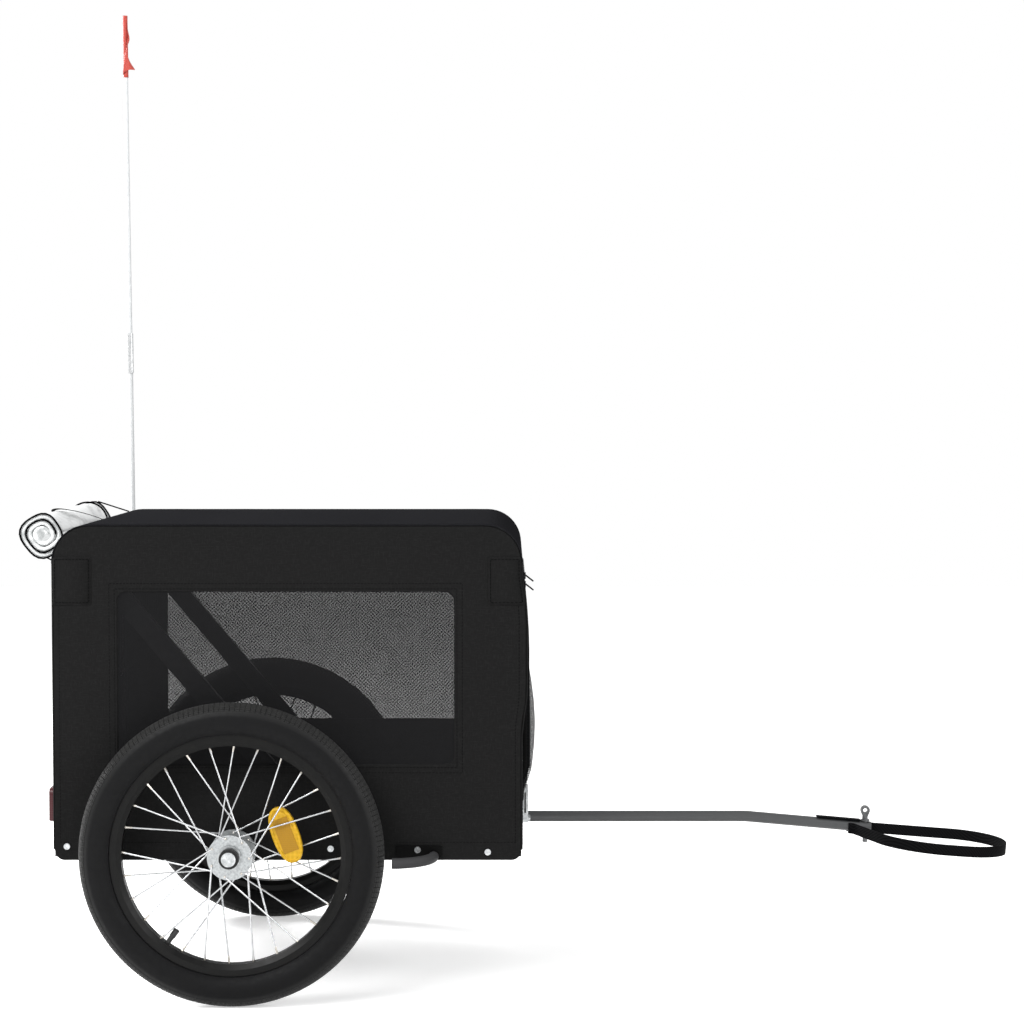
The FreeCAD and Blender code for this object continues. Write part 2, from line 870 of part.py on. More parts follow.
def door_mesh_section(y, bulge, x0, z0, z1):
    # A closed section whose two arcs meet where the mesh bulges most.
    peak = z0 + (z1 - z0) * bulge_height_share
    outer = []
    inner = []
    for wall, line in ((mesh_wall, outer), (0, inner)):
        out = x0 + wall + bulge
        for edge_z in (z0, z1):
            height = edge_z - peak
            r = (height ** 2 + bulge ** 2) / (2 * bulge)
            half_turn = math.asin(height / r) / 2
            line.append(V(x0 + wall, y, edge_z))
            line.append(V(out - r * (1 - math.cos(half_turn)), y, peak + r * math.sin(half_turn)))
        line.append(V(out, y, peak))
    start, low_via, end, high_via, top = outer
    back_start, back_low, back_end, back_high, back_top = inner
    legs = [
        [low_via, top],
        [high_via, end],
        [back_end],
        [back_high, back_top],
        [back_low, back_start],
    ]
    return closed_face(start, legs).OuterWire


def front_door_mesh(x0):
    half = door_width / 2 + door_lap - door_binding - run_fit
    z0 = door_bottom - door_lap + door_binding + run_fit
    z1 = door_top + door_lap - door_binding - run_fit
    sections = [
        door_mesh_section(-half, door_edge_bulge, x0, z0, z1),
        door_mesh_section(0, door_bulge, x0, z0, z1),
        door_mesh_section(half, door_edge_bulge, x0, z0, z1),
    ]
    return Part.makeLoft(sections, True, False)


def front_door_binding(x0):
    half = door_width / 2 + door_lap - door_binding
    z0 = door_bottom - door_lap + door_binding
    z1 = door_top + door_lap - door_binding
    flap = door_flap(x0, x0 + fabric)
    return flap.cut(box(x0 - overrun, x0 + fabric + overrun, -half, half, z0, z1))


def zip_pull(x, outward, angle, tilt):
    # A slider on the zip, at an angle round the door's upper right corner, with its tab hanging outward.
    turn_r = door_corner_r - pull_inset
    y = -door_width / 2 - door_lap + door_corner_r - turn_r * math.cos(math.radians(angle))
    z = door_top + door_lap - door_corner_r + turn_r * math.sin(math.radians(angle))
    half = pull_width / 2
    low = min(x, x + outward * slider_height)
    slider = box(low, low + slider_height, y - half, y + half, z - slider_length / 2, z + slider_length / 2)
    back = min(0, outward * pull_wall)
    tab = box(back, back + pull_wall, y - half, y + half, -pull_length, 0)
    tab.rotate(V(0, 0, 0), V(0, 1, 0), -outward * tilt)
    root = V(x + outward * slider_height / 2, 0, z)
    return fused([slider, tab.translated(root)])


def make_doors():
    front_x = cabin_front + seat_gap
    rear_x = cabin_rear - seat_gap
    pieces["front_door_binding"] = [front_door_binding(front_x)]
    pieces["front_door_mesh"] = [front_door_mesh(front_x)]
    pieces["front_zip_pulls"] = [
        zip_pull(front_x + fabric, 1, angle, pull_front_tilt) for angle in pull_front_angles]
    pieces["rear_door"] = [door_flap(rear_x - fabric, rear_x)]
    pieces["rear_zip_pulls"] = [
        zip_pull(rear_x - fabric, -1, angle, pull_rear_tilt) for angle in pull_rear_angles]


# Folding frame

def lower_post(x):
    r = post_width / 2
    bar = link(x, post_foot_z, r, x, knee_z, r, -lower_outer_y, -lower_inner_y)
    end = -upper_inner_y + post_gap
    pin = rod_y(x, knee_z, -lower_outer_y, end, pin_r)
    head = rod_y(x, knee_z, end, end + pin_head, pin_head_r)
    bore = rod_y(x, post_foot_z, -lower_outer_y - overrun, -lower_inner_y + overrun, pin_r + run_fit)
    return fused([bar, pin, head]).cut(bore)


def upper_post(x, top_fit):
    r = post_width / 2
    bar = link(x, knee_z, r, x, post_top_z, r, -upper_outer_y, -upper_inner_y)
    for z, fit in ((knee_z, run_fit), (post_top_z, top_fit)):
        bar = bar.cut(rod_y(x, z, -upper_outer_y - overrun, -upper_inner_y + overrun, pin_r + fit))
    return bar


def top_points():
    low = post_top_z - top_leg_tail
    return [
        V(frame_rear, -rail_y, low),
        V(frame_rear, -rail_y, top_rail_z),
        V(frame_front, -rail_y, top_rail_z),
        V(frame_front, -rail_y, low),
    ]


def top_rail():
    bends = [top_bend_r, top_bend_r]
    tube = round_bar(top_points(), bends, rail_r).cut(round_bar(top_points(), bends, rail_r - rail_wall))
    bend_x = cabin_rear + cabin_corner_r - top_bend_r * math.sqrt(2) / 2
    bend_z = corner_z + top_bend_r * math.sqrt(2) / 2
    lug_y = -rail_y + rail_r
    lug = link(strut_pivot_x, strut_pivot_z, strut_lug_r, bend_x, bend_z, rail_r - rail_wall,
               lug_y - strut_lug_wall, lug_y)
    end = -strut_inner_y + post_gap
    strut_pin = rod_y(strut_pivot_x, strut_pivot_z, lug_y - strut_lug_wall, end, strut_pin_r)
    strut_head = rod_y(strut_pivot_x, strut_pivot_z, end, end + pin_head, pin_head_r)
    solids = [tube, lug, strut_pin, strut_head]
    for x in (post_rear_x, post_front_x):
        end = -upper_inner_y + post_gap
        solids.append(rod_y(x, post_top_z, -rail_y, end, pin_r))
        solids.append(rod_y(x, post_top_z, end, end + pin_head, pin_head_r))
    return fused(solids)


def roof_bars():
    solids = []
    run = frame_front - frame_rear
    for share in roof_bar_shares:
        x = frame_rear + run * share
        bar = rod_y(x, top_rail_z, -rail_y, rail_y, roof_bar_r)
        for y in (-rail_y, rail_y):
            bar = bar.cut(rod_x(frame_rear, frame_front, y, top_rail_z, rail_r + run_fit))
        bar = bar.cut(rod_y(x, top_rail_z, -rail_y, rail_y, roof_bar_r - roof_bar_wall))
        solids.append(bar)
    return solids


def strut():
    along = V(math.cos(math.radians(strut_angle)), 0, -math.sin(math.radians(strut_angle)))
    away = V(along.z, 0, -along.x)
    r = strut_width / 2
    foot = V(strut_foot_x, 0, rail_z)
    neck = foot - along * strut_tongue_length
    y0 = -strut_outer_y
    y1 = -strut_inner_y
    body = link(strut_pivot_x, strut_pivot_z, r, neck.x, neck.z, r, y0, y1)
    tongue = link(neck.x, neck.z, strut_tongue_r, foot.x, foot.z, strut_tongue_r, y0, y1)
    hook_r = pin_r + strut_hook_gap
    mouth = foot + away * strut_width
    low = y0 - overrun
    high = y1 + overrun
    hook = link(foot.x, foot.z, hook_r, mouth.x, mouth.z, hook_r, low, high)
    bore = rod_y(strut_pivot_x, strut_pivot_z, low, high, strut_pin_r + run_fit)
    return fused([body, tongue]).cut(hook).cut(bore)


def make_folding_frame():
    pieces["rear_lower_posts"] = pair(lower_post(post_rear_x))
    pieces["front_lower_posts"] = pair(lower_post(post_front_x))
    pieces["rear_upper_posts"] = pair(upper_post(post_rear_x, run_fit))
    pieces["front_upper_posts"] = pair(upper_post(post_front_x, open_fit))
    pieces["top_rails"] = pair(top_rail())
    pieces["roof_cross_bars"] = roof_bars()
    pieces["struts"] = pair(strut())


# Rain cover

def rain_cover_roll():
    # The sheet's section is a spiral of half turns about two centres, half a pitch apart.
    start_r = roll_r - roll_pitch * (roll_turns - 0.5)
    y = -roll_right
    left_x = roll_x - roll_pitch / 2
    outer = []
    inner = []
    for half_turn in range(roll_turns * 2):
        upper = half_turn % 2 == 0
        centre = left_x if upper else roll_x
        r = start_r + roll_pitch * half_turn / 2
        sign = 1 if upper else -1
        for line, radius in ((outer, r), (inner, r - roll_sheet)):
            begin = V(centre + sign * radius, y, roll_z)
            middle = V(centre, y, roll_z + sign * radius)
            finish = V(centre - sign * radius, y, roll_z)
            line.append((begin, middle, finish))
    legs = [[middle, finish] for begin, middle, finish in outer]
    legs.append([inner[-1][2]])
    legs += [[middle, begin] for begin, middle, finish in reversed(inner)]
    return closed_face(outer[0][0], legs).extrude(V(0, roll_right + roll_left, 0))


def roll_ties():
    rings = []
    for share in tie_shares:
        y = -roll_right + (roll_right + roll_left) * share
        rings.append(Part.makeTorus(tie_ring_r, tie_d / 2, V(roll_x, y, roll_z), V(0, 1, 0)))
    return rings


def make_rain_cover():
    pieces["rain_cover_roll"] = [rain_cover_roll()]
    pieces["roll_ties"] = roll_ties()


# Flag

def along_pole(distance):
    lean = math.radians(pole_lean)
    foot = V(pole_x, side_y + pole_side, rail_z - pole_sink)
    return foot + V(-math.sin(lean), 0, math.cos(lean)) * distance


def flag_socket():
    r = pole_d / 2 + socket_wall
    body = rod(along_pole(-socket_floor), along_pole(socket_length), r)
    body = body.cut(rod(along_pole(0), along_pole(socket_length + overrun), pole_d / 2 + run_fit))
    arm = box(pole_x - r, pole_x + r, side_y, side_y + pole_side, rail_z - r, rail_z + r)
    arm = arm.cut(rod(along_pole(-socket_floor - overrun), along_pole(socket_length), r))
    low = arm.Solids[0] if arm.Solids[0].CenterOfMass.y < side_y + pole_side else arm.Solids[-1]
    return fused([body, low])


def flag():
    # Limp cloth: a sleeve on the pole and a sheet that hangs in two folds.
    top = pole_length
    bottom = pole_length - flag_hoist
    sleeve_r = pole_d / 2 + run_fit
    cloth_r = sleeve_r + flag_sleeve_wall
    tip = along_pole(top)
    foot = along_pole(bottom)
    sleeve = rod(foot, tip, cloth_r)
    quarter = flag_fly / 4
    y0 = foot.y + sleeve_r
    line = []
    for wall in (0, flag_wall):
        x = foot.x + wall
        line.append([
            V(x, y0, foot.z),
            V(x + flag_wave / 2, y0 + quarter / 2, foot.z),
            V(x, y0 + quarter, foot.z),
            V(x - flag_wave / 2, y0 + 2 * quarter, foot.z),
            V(x, y0 + 3 * quarter, foot.z),
            V(x + flag_wave, y0 + 4 * quarter, foot.z),
        ])
    low, high = line
    legs = [
        [low[1], low[2]],
        [low[3], low[4]],
        [low[5]],
        [high[5]],
        [high[4]],
        [high[3], high[2]],
        [high[1], high[0]],
    ]
    sheet = closed_face(low[0], legs).extrude(V(0, 0, flag_hoist))
    tail = flag_hoist * flag_tail_share
    reach = y0 + flag_fly + flag_wave
    corner = [V(foot.x, foot.y, tip.z), V(foot.x, reach, tip.z), V(foot.x, reach, foot.z + tail)]
    wedge = Part.Face(Part.makePolygon(corner + corner[:1]))
    wide = flag_fly
    slope = wedge.translated(V(-wide, 0, 0)).extrude(V(2 * wide, 0, 0))
    cloth = fused([sleeve, sheet.cut(slope)])
    return cloth.cut(rod(along_pole(bottom - overrun), along_pole(top + overrun), sleeve_r))


def make_flag():
    pieces["flag_socket"] = [flag_socket()]
    pieces["flag_pole"] = [rod(along_pole(0), along_pole(pole_length), pole_d / 2)]
    bore_r = pole_d / 2 + run_fit
    low = ferrule_place
    high = ferrule_place + ferrule_length
    ferrule = rod(along_pole(low), along_pole(high), pole_d / 2 + ferrule_wall)
    bore = rod(along_pole(low - overrun), along_pole(high + overrun), bore_r)
    pieces["pole_ferrule"] = [ferrule.cut(bore)]
    pieces["flag"] = [flag()]


# Tow bar and hitch

def tow_bracket():
    x0 = cabin_front + seat_gap
    x1 = x0 + bracket_length
    half = bracket_width / 2
    z0 = tow_z - bracket_foot
    z1 = z0 + bracket_height
    block = box(x0, x1, -half, half, z0, z1)
    wide = half + overrun
    slot = box(x0 + bracket_plate, x1 - bracket_plate, -wide, wide, tow_z + tow_bar_r, z1 - bracket_head)
    block = block.cut(slot)
    block = block.cut(rod_x(x0 - overrun, x1 + overrun, 0, tow_z, spigot_r + run_fit))
    for side in (-1, 1):
        hole = rod_x(x0 - overrun, x1 + overrun, side * bracket_bolt_side, tow_z, bracket_bolt_r + run_fit)
        block = block.cut(hole)
    return block


def bracket_bolt(side):
    x1 = cabin_front + seat_gap + bracket_length
    y = side * bracket_bolt_side
    shank = rod_x(cabin_front - bracket_bolt_reach, x1, y, tow_z, bracket_bolt_r)
    return fused([shank, rod_x(x1, x1 + bracket_bolt_r, y, tow_z, bracket_bolt_head_r)])


def tow_bar():
    # A bent tube, solid at the end that carries the spigot.
    later = [V(tow_bend_x, 0, tow_z), V(tow_end_x, 0, tow_z - tow_nose_drop)]
    bar = round_bar([V(tow_start, 0, tow_z)] + later, [tow_bend_r], tow_bar_r)
    hollow = [V(tow_start + tow_plug_length, 0, tow_z)] + later
    bar = bar.cut(round_bar(hollow, [tow_bend_r], tow_bar_r - tow_bar_wall))
    spigot = rod_x(tow_start - tow_spigot_length, tow_start, 0, tow_z, spigot_r)
    reach = tow_bar_r + overrun
    hole = rod(V(hitch_x, 0, hitch_z - reach), V(hitch_x, 0, hitch_z + reach), hitch_pin_r + run_fit)
    return fused([bar, spigot]).cut(hole)


def hitch_pin():
    base = hitch_z + tow_bar_r + seat_gap
    eye_z = base + hitch_neck + hitch_eye_r
    end = V(hitch_x, 0, hitch_z - tow_bar_r - hitch_pin_below)
    shank = rod(end, V(hitch_x, 0, eye_z - hitch_eye_r), hitch_pin_r)
    tip = rod(end - V(0, 0, hitch_tip_length), end, hitch_tip_r)
    seat = V(hitch_x, 0, base + seat_gap)
    collar = rod(seat, seat + V(0, 0, hitch_collar), hitch_collar_r)
    half = hitch_eye_wall / 2
    eye = link(hitch_x, eye_z - hitch_eye_r, hitch_pin_r, hitch_x, eye_z, hitch_eye_r, -half, half)
    hole = rod_y(hitch_x, eye_z, -half - overrun, half + overrun, hitch_eye_hole_r)
    return fused([shank, tip, collar, eye]).cut(hole)


def strap_loop():
    side = tow_bar_r + strap_wall / 2 + seat_gap
    back = hitch_x - strap_back
    points = [
        V(back, -side, strap_z),
        V(hitch_x - strap_leave, -side, strap_z),
        V(hitch_x + strap_near_spread, -strap_near, strap_z),
        V(strap_front, -strap_near, strap_z),
        V(strap_front, strap_far, strap_z),
        V(hitch_x + strap_far_spread, strap_far, strap_z),
        V(hitch_x, side, strap_z),
        V(back, side, strap_z),
    ]
    radii = [strap_root_bend_r, strap_side_bend_r, strap_end_bend_r, strap_end_bend_r,
             strap_side_bend_r, strap_side_bend_r]
    path = bent_path(points, radii)
    half = strap_width / 2
    edge = [
        V(back, -side - strap_wall / 2, strap_z - half),
        V(back, -side + strap_wall / 2, strap_z - half),
        V(back, -side + strap_wall / 2, strap_z + half),
        V(back, -side - strap_wall / 2, strap_z + half),
    ]
    loop = Part.Solid(swept(path, Part.makePolygon(edge + edge[:1])))
    loop.rotate(V(hitch_x, 0, strap_z), V(0, 1, 0), strap_slope)
    return loop


def strap_tail():
    # The strap's end, which lies along the top of the bar.
    slope = math.degrees(math.atan2(tow_nose_drop, tow_nose))
    half = strap_tail_width / 2
    low = tow_bar_r + strap_tail_gap
    tail = box(-strap_tail_back, strap_tail_length - strap_tail_back, -half, half, low, low + strap_wall)
    tail.rotate(V(0, 0, 0), V(0, 1, 0), slope)
    return tail.translated(V(hitch_x, 0, hitch_z))


def make_towing():
    pieces["tow_bracket"] = [tow_bracket()]
    pieces["tow_bracket_bolts"] = [bracket_bolt(-1), bracket_bolt(1)]
    pieces["tow_bar"] = [tow_bar()]
    pieces["hitch_pin"] = [hitch_pin()]
    pieces["safety_strap"] = [strap_loop(), strap_tail()]


def save(name, solids):
    shape = solids[0] if len(solids) == 1 else Part.makeCompound(solids)
    shape.translated(V(-origin_x, 0, 0)).exportStep("parts/%s.step" % name)


make_wheels()
make_axles()
make_base()
make_cloth()
make_doors()
make_folding_frame()
make_rain_cover()
make_flag()
make_towing()
os.makedirs("parts", exist_ok=True)
for node, shapes in pieces.items():
    save(node, shapes)
print("%d pieces, origin %.3f mm ahead of the axle" % (len(pieces), origin_x))
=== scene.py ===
import math

import bmesh
import bpy
from mathutils import Matrix, Vector, noise


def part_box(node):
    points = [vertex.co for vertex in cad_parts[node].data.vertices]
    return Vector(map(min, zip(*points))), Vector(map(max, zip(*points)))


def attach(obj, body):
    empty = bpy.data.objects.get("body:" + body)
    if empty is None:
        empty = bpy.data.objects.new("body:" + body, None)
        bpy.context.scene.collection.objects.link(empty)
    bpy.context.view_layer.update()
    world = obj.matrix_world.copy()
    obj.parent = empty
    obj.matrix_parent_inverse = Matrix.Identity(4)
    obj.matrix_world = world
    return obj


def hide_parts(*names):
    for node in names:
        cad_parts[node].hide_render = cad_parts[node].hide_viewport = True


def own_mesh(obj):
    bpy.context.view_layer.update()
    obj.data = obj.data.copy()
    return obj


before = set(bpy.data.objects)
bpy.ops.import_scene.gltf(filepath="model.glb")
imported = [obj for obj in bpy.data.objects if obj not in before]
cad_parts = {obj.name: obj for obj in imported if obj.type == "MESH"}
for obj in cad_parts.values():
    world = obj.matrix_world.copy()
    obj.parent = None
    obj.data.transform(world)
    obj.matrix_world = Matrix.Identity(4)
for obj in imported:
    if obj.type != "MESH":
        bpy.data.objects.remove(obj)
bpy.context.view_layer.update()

bl_info = {
    "name": "Dog bike trailer",
    "version": (1, 0, 0),
    "blender": (4, 5, 0),
    "location": "View3D > Sidebar > Trailer",
    "description": "Cloth, wheels and finishes of a folding dog bike trailer",
    "category": "Object",
}

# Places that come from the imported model, in metres
side_low, side_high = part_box("right_side_panel")
net_low, net_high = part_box("right_window_mesh")
front_low, front_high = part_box("front_panel")
rear_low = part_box("rear_panel")[0]
roof_low, roof_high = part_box("roof_cover")
front_door_low, front_door_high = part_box("front_door_binding")
rear_door_low, rear_door_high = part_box("rear_door")
roll_low, roll_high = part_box("rain_cover_roll")
tie_low, tie_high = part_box("roll_ties")
flag_low, flag_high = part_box("flag")
pole_low, pole_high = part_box("flag_pole")
pin_low, pin_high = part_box("hitch_pin")
bar_low, bar_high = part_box("tow_bar")
axle_x = sum(corner.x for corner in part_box("right_rim")) / 2
wall_y = -side_low.y

up = Vector((0, 0, 1))
sides = (("right", 1), ("left", -1))
out_of_round = math.radians(35)
same_point = 1e-6
# The wave texture's period at a scale of one
wave_band = 0.314


def linear(code):
    """An sRGB hex colour as linear values."""
    parts = [int(code[i:i + 2], 16) / 255 for i in (0, 2, 4)]
    return tuple(c / 12.92 if c <= 0.04045 else ((c + 0.055) / 1.055) ** 2.4 for c in parts)


def length(name, description, default):
    """A setting in metres."""
    return bpy.props.FloatProperty(
        name=name, description=description, default=default, min=0, unit="LENGTH", precision=4)


def colour(name, description, code):
    """A setting for a colour."""
    return bpy.props.FloatVectorProperty(
        name=name, description=description, default=linear(code), min=0, max=1, subtype="COLOR")


def power(name, description, default):
    """A setting in watts."""
    return bpy.props.FloatProperty(
        name=name, description=description, default=default, min=0, unit="POWER")


class TrailerCloth(bpy.types.PropertyGroup):
    """Sizes and colours of the cabin's cloth."""
    wall: length("Thickness", "Thickness of the woven cloth", 0.0014)
    cell: length("Cell", "Width of the panels' mesh cells", 0.026)
    hem: length("Hem", "Depth of the side panels' edge that turns back", 0.004)
    edge: length("Edge", "Depth of the ends' and doors' edge that turns back", 0.0004)
    hem_r: length("Hem Radius", "Rounding of the panels' edges", 0.0015)
    bottom_r: length("Bottom Corner", "Radius of the panels' bottom corners", 0.013)
    top_r: length("Top Corner", "Radius of the panels' top corners", 0.0481)
    window_r: length("Window Corner", "Radius of the window's corners", 0.012)
    door_r: length("Door Corner", "Radius of the doors' corners", 0.04)
    border: length("Window Border", "How far the cloth lies over the window net", 0.008)
    lap: length("Door Lap", "How far the doors lie over the end walls", 0.01)
    band: length("Binding Width", "Width of the front door's binding", 0.017)
    patch: length("Patch", "Thickness of the corner patches", 0.0012)
    ripple: length("Ripple", "Height of the waves in the side cloth", 0.0012)
    sag: length("Roof Sag", "How far the roof sags between its bars", 0.004)
    stitch: length("Stitch", "Distance from stitch to stitch", 0.0045)
    thread: length("Thread", "Thickness of the sewing thread", 0.0006)
    net_pitch: length("Net Pitch", "Distance between the net's threads", 0.0009)
    net_hole: bpy.props.FloatProperty(
        name="Net Hole", description="Width of a hole as a share of the pitch", default=0.5,
        min=0, max=1, subtype="FACTOR")
    dark: colour("Cloth", "Dark yarn of the cabin", "161616")
    slub: colour("Slub", "Paler yarn in the weave", "1d1d1d")
    # The roof's two colours are the cabin cloth's made lighter: painted light from the lamps above.
    roof: colour("Roof", "Dark yarn of the roof", "1e1e20")
    roof_slub_painted_light: colour("Roof Slub", "Paler yarn in the roof", "242426")
    binding: colour("Binding", "Binding tape and webbing", "070708")
    net: colour("Net", "Threads of the window net", "1a1a1b")
    door_net: colour("Door Net", "Threads of the front door's net", "4e4e4e")


class TrailerWheels(bpy.types.PropertyGroup):
    """Sizes and colours of the wheels."""
    tread: length("Tread", "Height of the tread blocks", 0.0008)
    groove: length("Groove", "Half the width of the grooves between the blocks", 0.0005)
    blocks: bpy.props.IntProperty(
        name="Blocks", description="Tread blocks round the tyre", default=180, min=1)
    nipple: length("Nipple", "Length of the spoke nipples", 0.01)
    nipple_r: length("Nipple Radius", "Radius of the spoke nipples", 0.0017)
    rubber: colour("Rubber", "Tyre rubber", "0b0b0c")
    # Paler colour of the tread band: partly dust, partly a painted highlight.
    tread_dust_and_highlight: colour("Dust", "Dust on the tread", "282827")
    rim: colour("Rim", "Satin coating of the rims", "080808")
    steel: colour("Spokes", "Stainless steel of the spokes", "c9cacb")
    hub: colour("Hub", "Cast alloy of the hubs", "b2b5b6")
    amber: colour("Amber", "Border of the wheel reflectors", "b48c10")
    amber_lens: colour("Amber Lens", "Middle of the wheel reflectors", "8c6608")
    red: colour("Red", "Rear reflectors", "3c0a12")


class TrailerTrims(bpy.types.PropertyGroup):
    """Sizes and colours of the roll, flag, strap and metalwork."""
    film: length("Film", "Thickness of the rolled rain cover", 0.006)
    film_tape: length("Film Tape", "Thickness of the tape on the rain cover's edges", 0.0022)
    film_edge: length("Film Edge", "Width of the rain cover's edge tape", 0.002)
    crease: length("Crease", "Depth of the creases in the roll", 0.0016)
    strap: length("Strap", "Thickness of the safety strap", 0.0018)
    white: colour("Rain Cover", "Clear film over white backing", "eceeee")
    # Grey of the film's creases: painted shade.
    crease_shade: colour("Creases", "Creases in the film", "8e9292")
    flag: colour("Flag", "Signal flag", "bb463a")
    pole: colour("Pole", "Glass-fibre pole", "cdcfd0")
    paint: colour("Paint", "Powder coat of the frame", "161617")
    tow: colour("Tow Bar", "Coating of the tow bar", "454647")
    zinc: colour("Zinc", "Zinc-plated steel", "bfc1c2")
    board: colour("Board", "Floor board", "1d1d1e")


class TrailerStage(bpy.types.PropertyGroup):
    """Sizes and lights of the stage."""
    floor: length("Floor", "Width of the floor", 14.0)
    key: power("Key", "Power of the main light", 130)
    fill: power("Fill", "Power of the light from the other side", 60)
    back: power("Back", "Power of the light from behind", 170)
    sky: bpy.props.FloatProperty(
        name="Sky", description="Strength of the even light from all round", default=0.62, min=0)
    pale: colour("Floor Colour", "Colour of the floor", "f2f2f2")


# Making pieces

def piece(name, bm, body, materials, replaces=(), wall=0, offset=-1, folds=False, smooth=True):
    """Turn a finished bmesh into a piece that rides on a body, with a thickness if it is a sheet."""
    mesh = bpy.data.meshes.new(name)
    bm.to_mesh(mesh)
    bm.free()
    for material in materials:
        mesh.materials.append(material)
    if smooth:
        mesh.shade_smooth()
        mesh.set_sharp_from_angle(angle=out_of_round)
    made = bpy.data.objects.new(name, mesh)
    bpy.context.scene.collection.objects.link(made)
    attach(made, body)
    if replaces:
        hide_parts(*replaces)
    if wall:
        change = made.modifiers.new("wall", "SOLIDIFY")
        change.thickness = wall
        change.offset = offset
    if folds:
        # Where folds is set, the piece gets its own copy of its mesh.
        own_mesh(made)
    return made


def sewing(name, bm, body="base", folds=True):
    """A piece made of rows of stitches."""
    return piece(name, bm, body, [tape_finish()], folds=folds, smooth=False)


def join(whole, part):
    """Add a finished bmesh to another."""
    mesh = bpy.data.meshes.new("part")
    part.to_mesh(mesh)
    part.free()
    whole.from_mesh(mesh)
    bpy.data.meshes.remove(mesh)


def push(bm, extruded, way):
    """Move the new corners of an extrusion."""
    corners = [part for part in extruded["geom"] if isinstance(part, bmesh.types.BMVert)]
    bmesh.ops.translate(bm, verts=corners, vec=way)


def round_off(bm, geom, r, segments, affect="EDGES", **more):
    """Round edges or corners to a radius."""
    bmesh.ops.bevel(bm, geom=geom, offset=r, segments=segments, affect=affect, profile=0.5, material=-1,
                    **more)


def outward(bm):
    """Turn a mesh's faces outwards."""
    bmesh.ops.recalc_face_normals(bm, faces=bm.faces[:])


def face_up(bm):
    """Turn a sheet's faces the same way, upwards."""
    outward(bm)
    if sum(face.normal.z * face.calc_area() for face in bm.faces) < 0:
        bmesh.ops.reverse_faces(bm, faces=bm.faces[:])


def turn_round(bm, steps):
    """Turn a section round the Y axis and close the seam."""
    bmesh.ops.spin(bm, geom=bm.verts[:] + bm.edges[:], cent=(0, 0, 0), axis=(0, 1, 0), angle=2 * math.pi,
                   steps=steps, use_merge=True)
    bmesh.ops.remove_doubles(bm, verts=bm.verts[:], dist=same_point)
    outward(bm)


def block(bm, place, size):
    """Add a block at a place that is given as a matrix."""
    return bmesh.ops.create_cube(bm, size=1, matrix=place @ Matrix.Diagonal((*size, 1)))["verts"]


def rod(bm, start, end, r, end_r):
    """Add a thin round rod from one point to another."""
    run = end - start
    lean = run.to_track_quat("Z", "X").to_matrix().to_4x4()
    bmesh.ops.create_cone(bm, cap_ends=True, segments=8, radius1=r, radius2=end_r, depth=run.length,
                          matrix=Matrix.Translation((start + end) / 2) @ lean)


def slice_up(bm, axis, low, high, step):
    """Cut a mesh across at even steps."""
    count = max(1, round((high - low) / step))
    across = Vector([float(i == axis) for i in range(3)])
    for i in range(1, count):
        bmesh.ops.bisect_plane(
            bm, geom=bm.verts[:] + bm.edges[:] + bm.faces[:], dist=same_point,
            plane_co=across * (low + (high - low) * i / count), plane_no=across)


def lay_threads(bm, flat=lambda spot: (spot.x, spot.y)):
    """Give each corner its place on the flat cloth, in metres, for the weave."""
    layer = bm.loops.layers.uv.new("threads")
    for face in bm.faces:
        for loop in face.loops:
            loop[layer].uv = flat(loop.vert.co)


def blunt(angle, exponent):
    """How far a rounded square of half width one reaches at an angle."""
    return (abs(math.cos(angle)) ** exponent + abs(math.sin(angle)) ** exponent) ** (-1 / exponent)


# Panels, which are made flat and then stood up

def side_box(low, high, sign):
    """The flat box of a CAD box on a side of the cabin, seen from outside."""
    left, right = sorted((low.x * sign, high.x * sign))
    return Vector((left, low.z)), Vector((right, high.z))


def end_box(low, high):
    """The flat box of a CAD box on an end of the cabin."""
    return Vector((low.y, low.z)), Vector((high.y, high.z))


def inset(box, by):
    """A flat box made smaller on all sides."""
    edge = Vector((by, by))
    return box[0] + edge, box[1] - edge


def corners_of(box):
    """The corners of a flat box, in order."""
    low, high = box
    return [(low.x, low.y), (high.x, low.y), (high.x, high.y), (low.x, high.y)]


def standing(side, place):
    """The matrix that stands a flat panel up on one side of the cabin, facing outwards."""
    across = {"right": (1, 0, 0), "left": (-1, 0, 0), "front": (0, 1, 0), "rear": (0, -1, 0)}
    along = Vector(across[side])
    out = along.cross(up)
    return Matrix.Translation(out * place) @ Matrix((along, up, out)).transposed().to_4x4()


def swell(bm):
    """Push the cloth of the front corners out, where it bags over the posts."""
    depth, reach = 0.0072, 0.05
    foot, foot_fade, top, top_fade = 0.362, 0.05, 0.56, 0.06
    for vert in bm.verts:
        away = math.hypot(max(0, side_high.x - vert.co.x), max(0, wall_y - abs(vert.co.y)))
        share = max(0, 1 - away / reach) ** 2
        tall = min(1, max(0, top - vert.co.z) / top_fade) * min(1, max(0, vert.co.z - foot) / foot_fade)
        vert.co.x += depth * share * math.sin(math.pi / 2 * tall)


def ring(bm, box, bottom_r, top_r):
    """The edge of a rounded rectangle, as a face."""
    corners = [bm.verts.new((*place, 0)) for place in corners_of(box)]
    bm.faces.new(corners)
    for pair, r in ((corners[:2], bottom_r), (corners[2:], top_r)):
        round_off(bm, pair, r, segments=8, affect="VERTICES")


def room(place, box, hole):
    """How far a point is from the panel's edges, as a share of the margin that lies flat."""
    margin = 0.04
    low, high = box
    away = min(place.x - low.x, high.x - place.x, place.y - low.y, high.y - place.y)
    if hole:
        a, b = hole
        away = min(away, max(a.x - place.x, place.x - b.x, a.y - place.y, place.y - b.y))
    return max(0, min(1, away / margin))


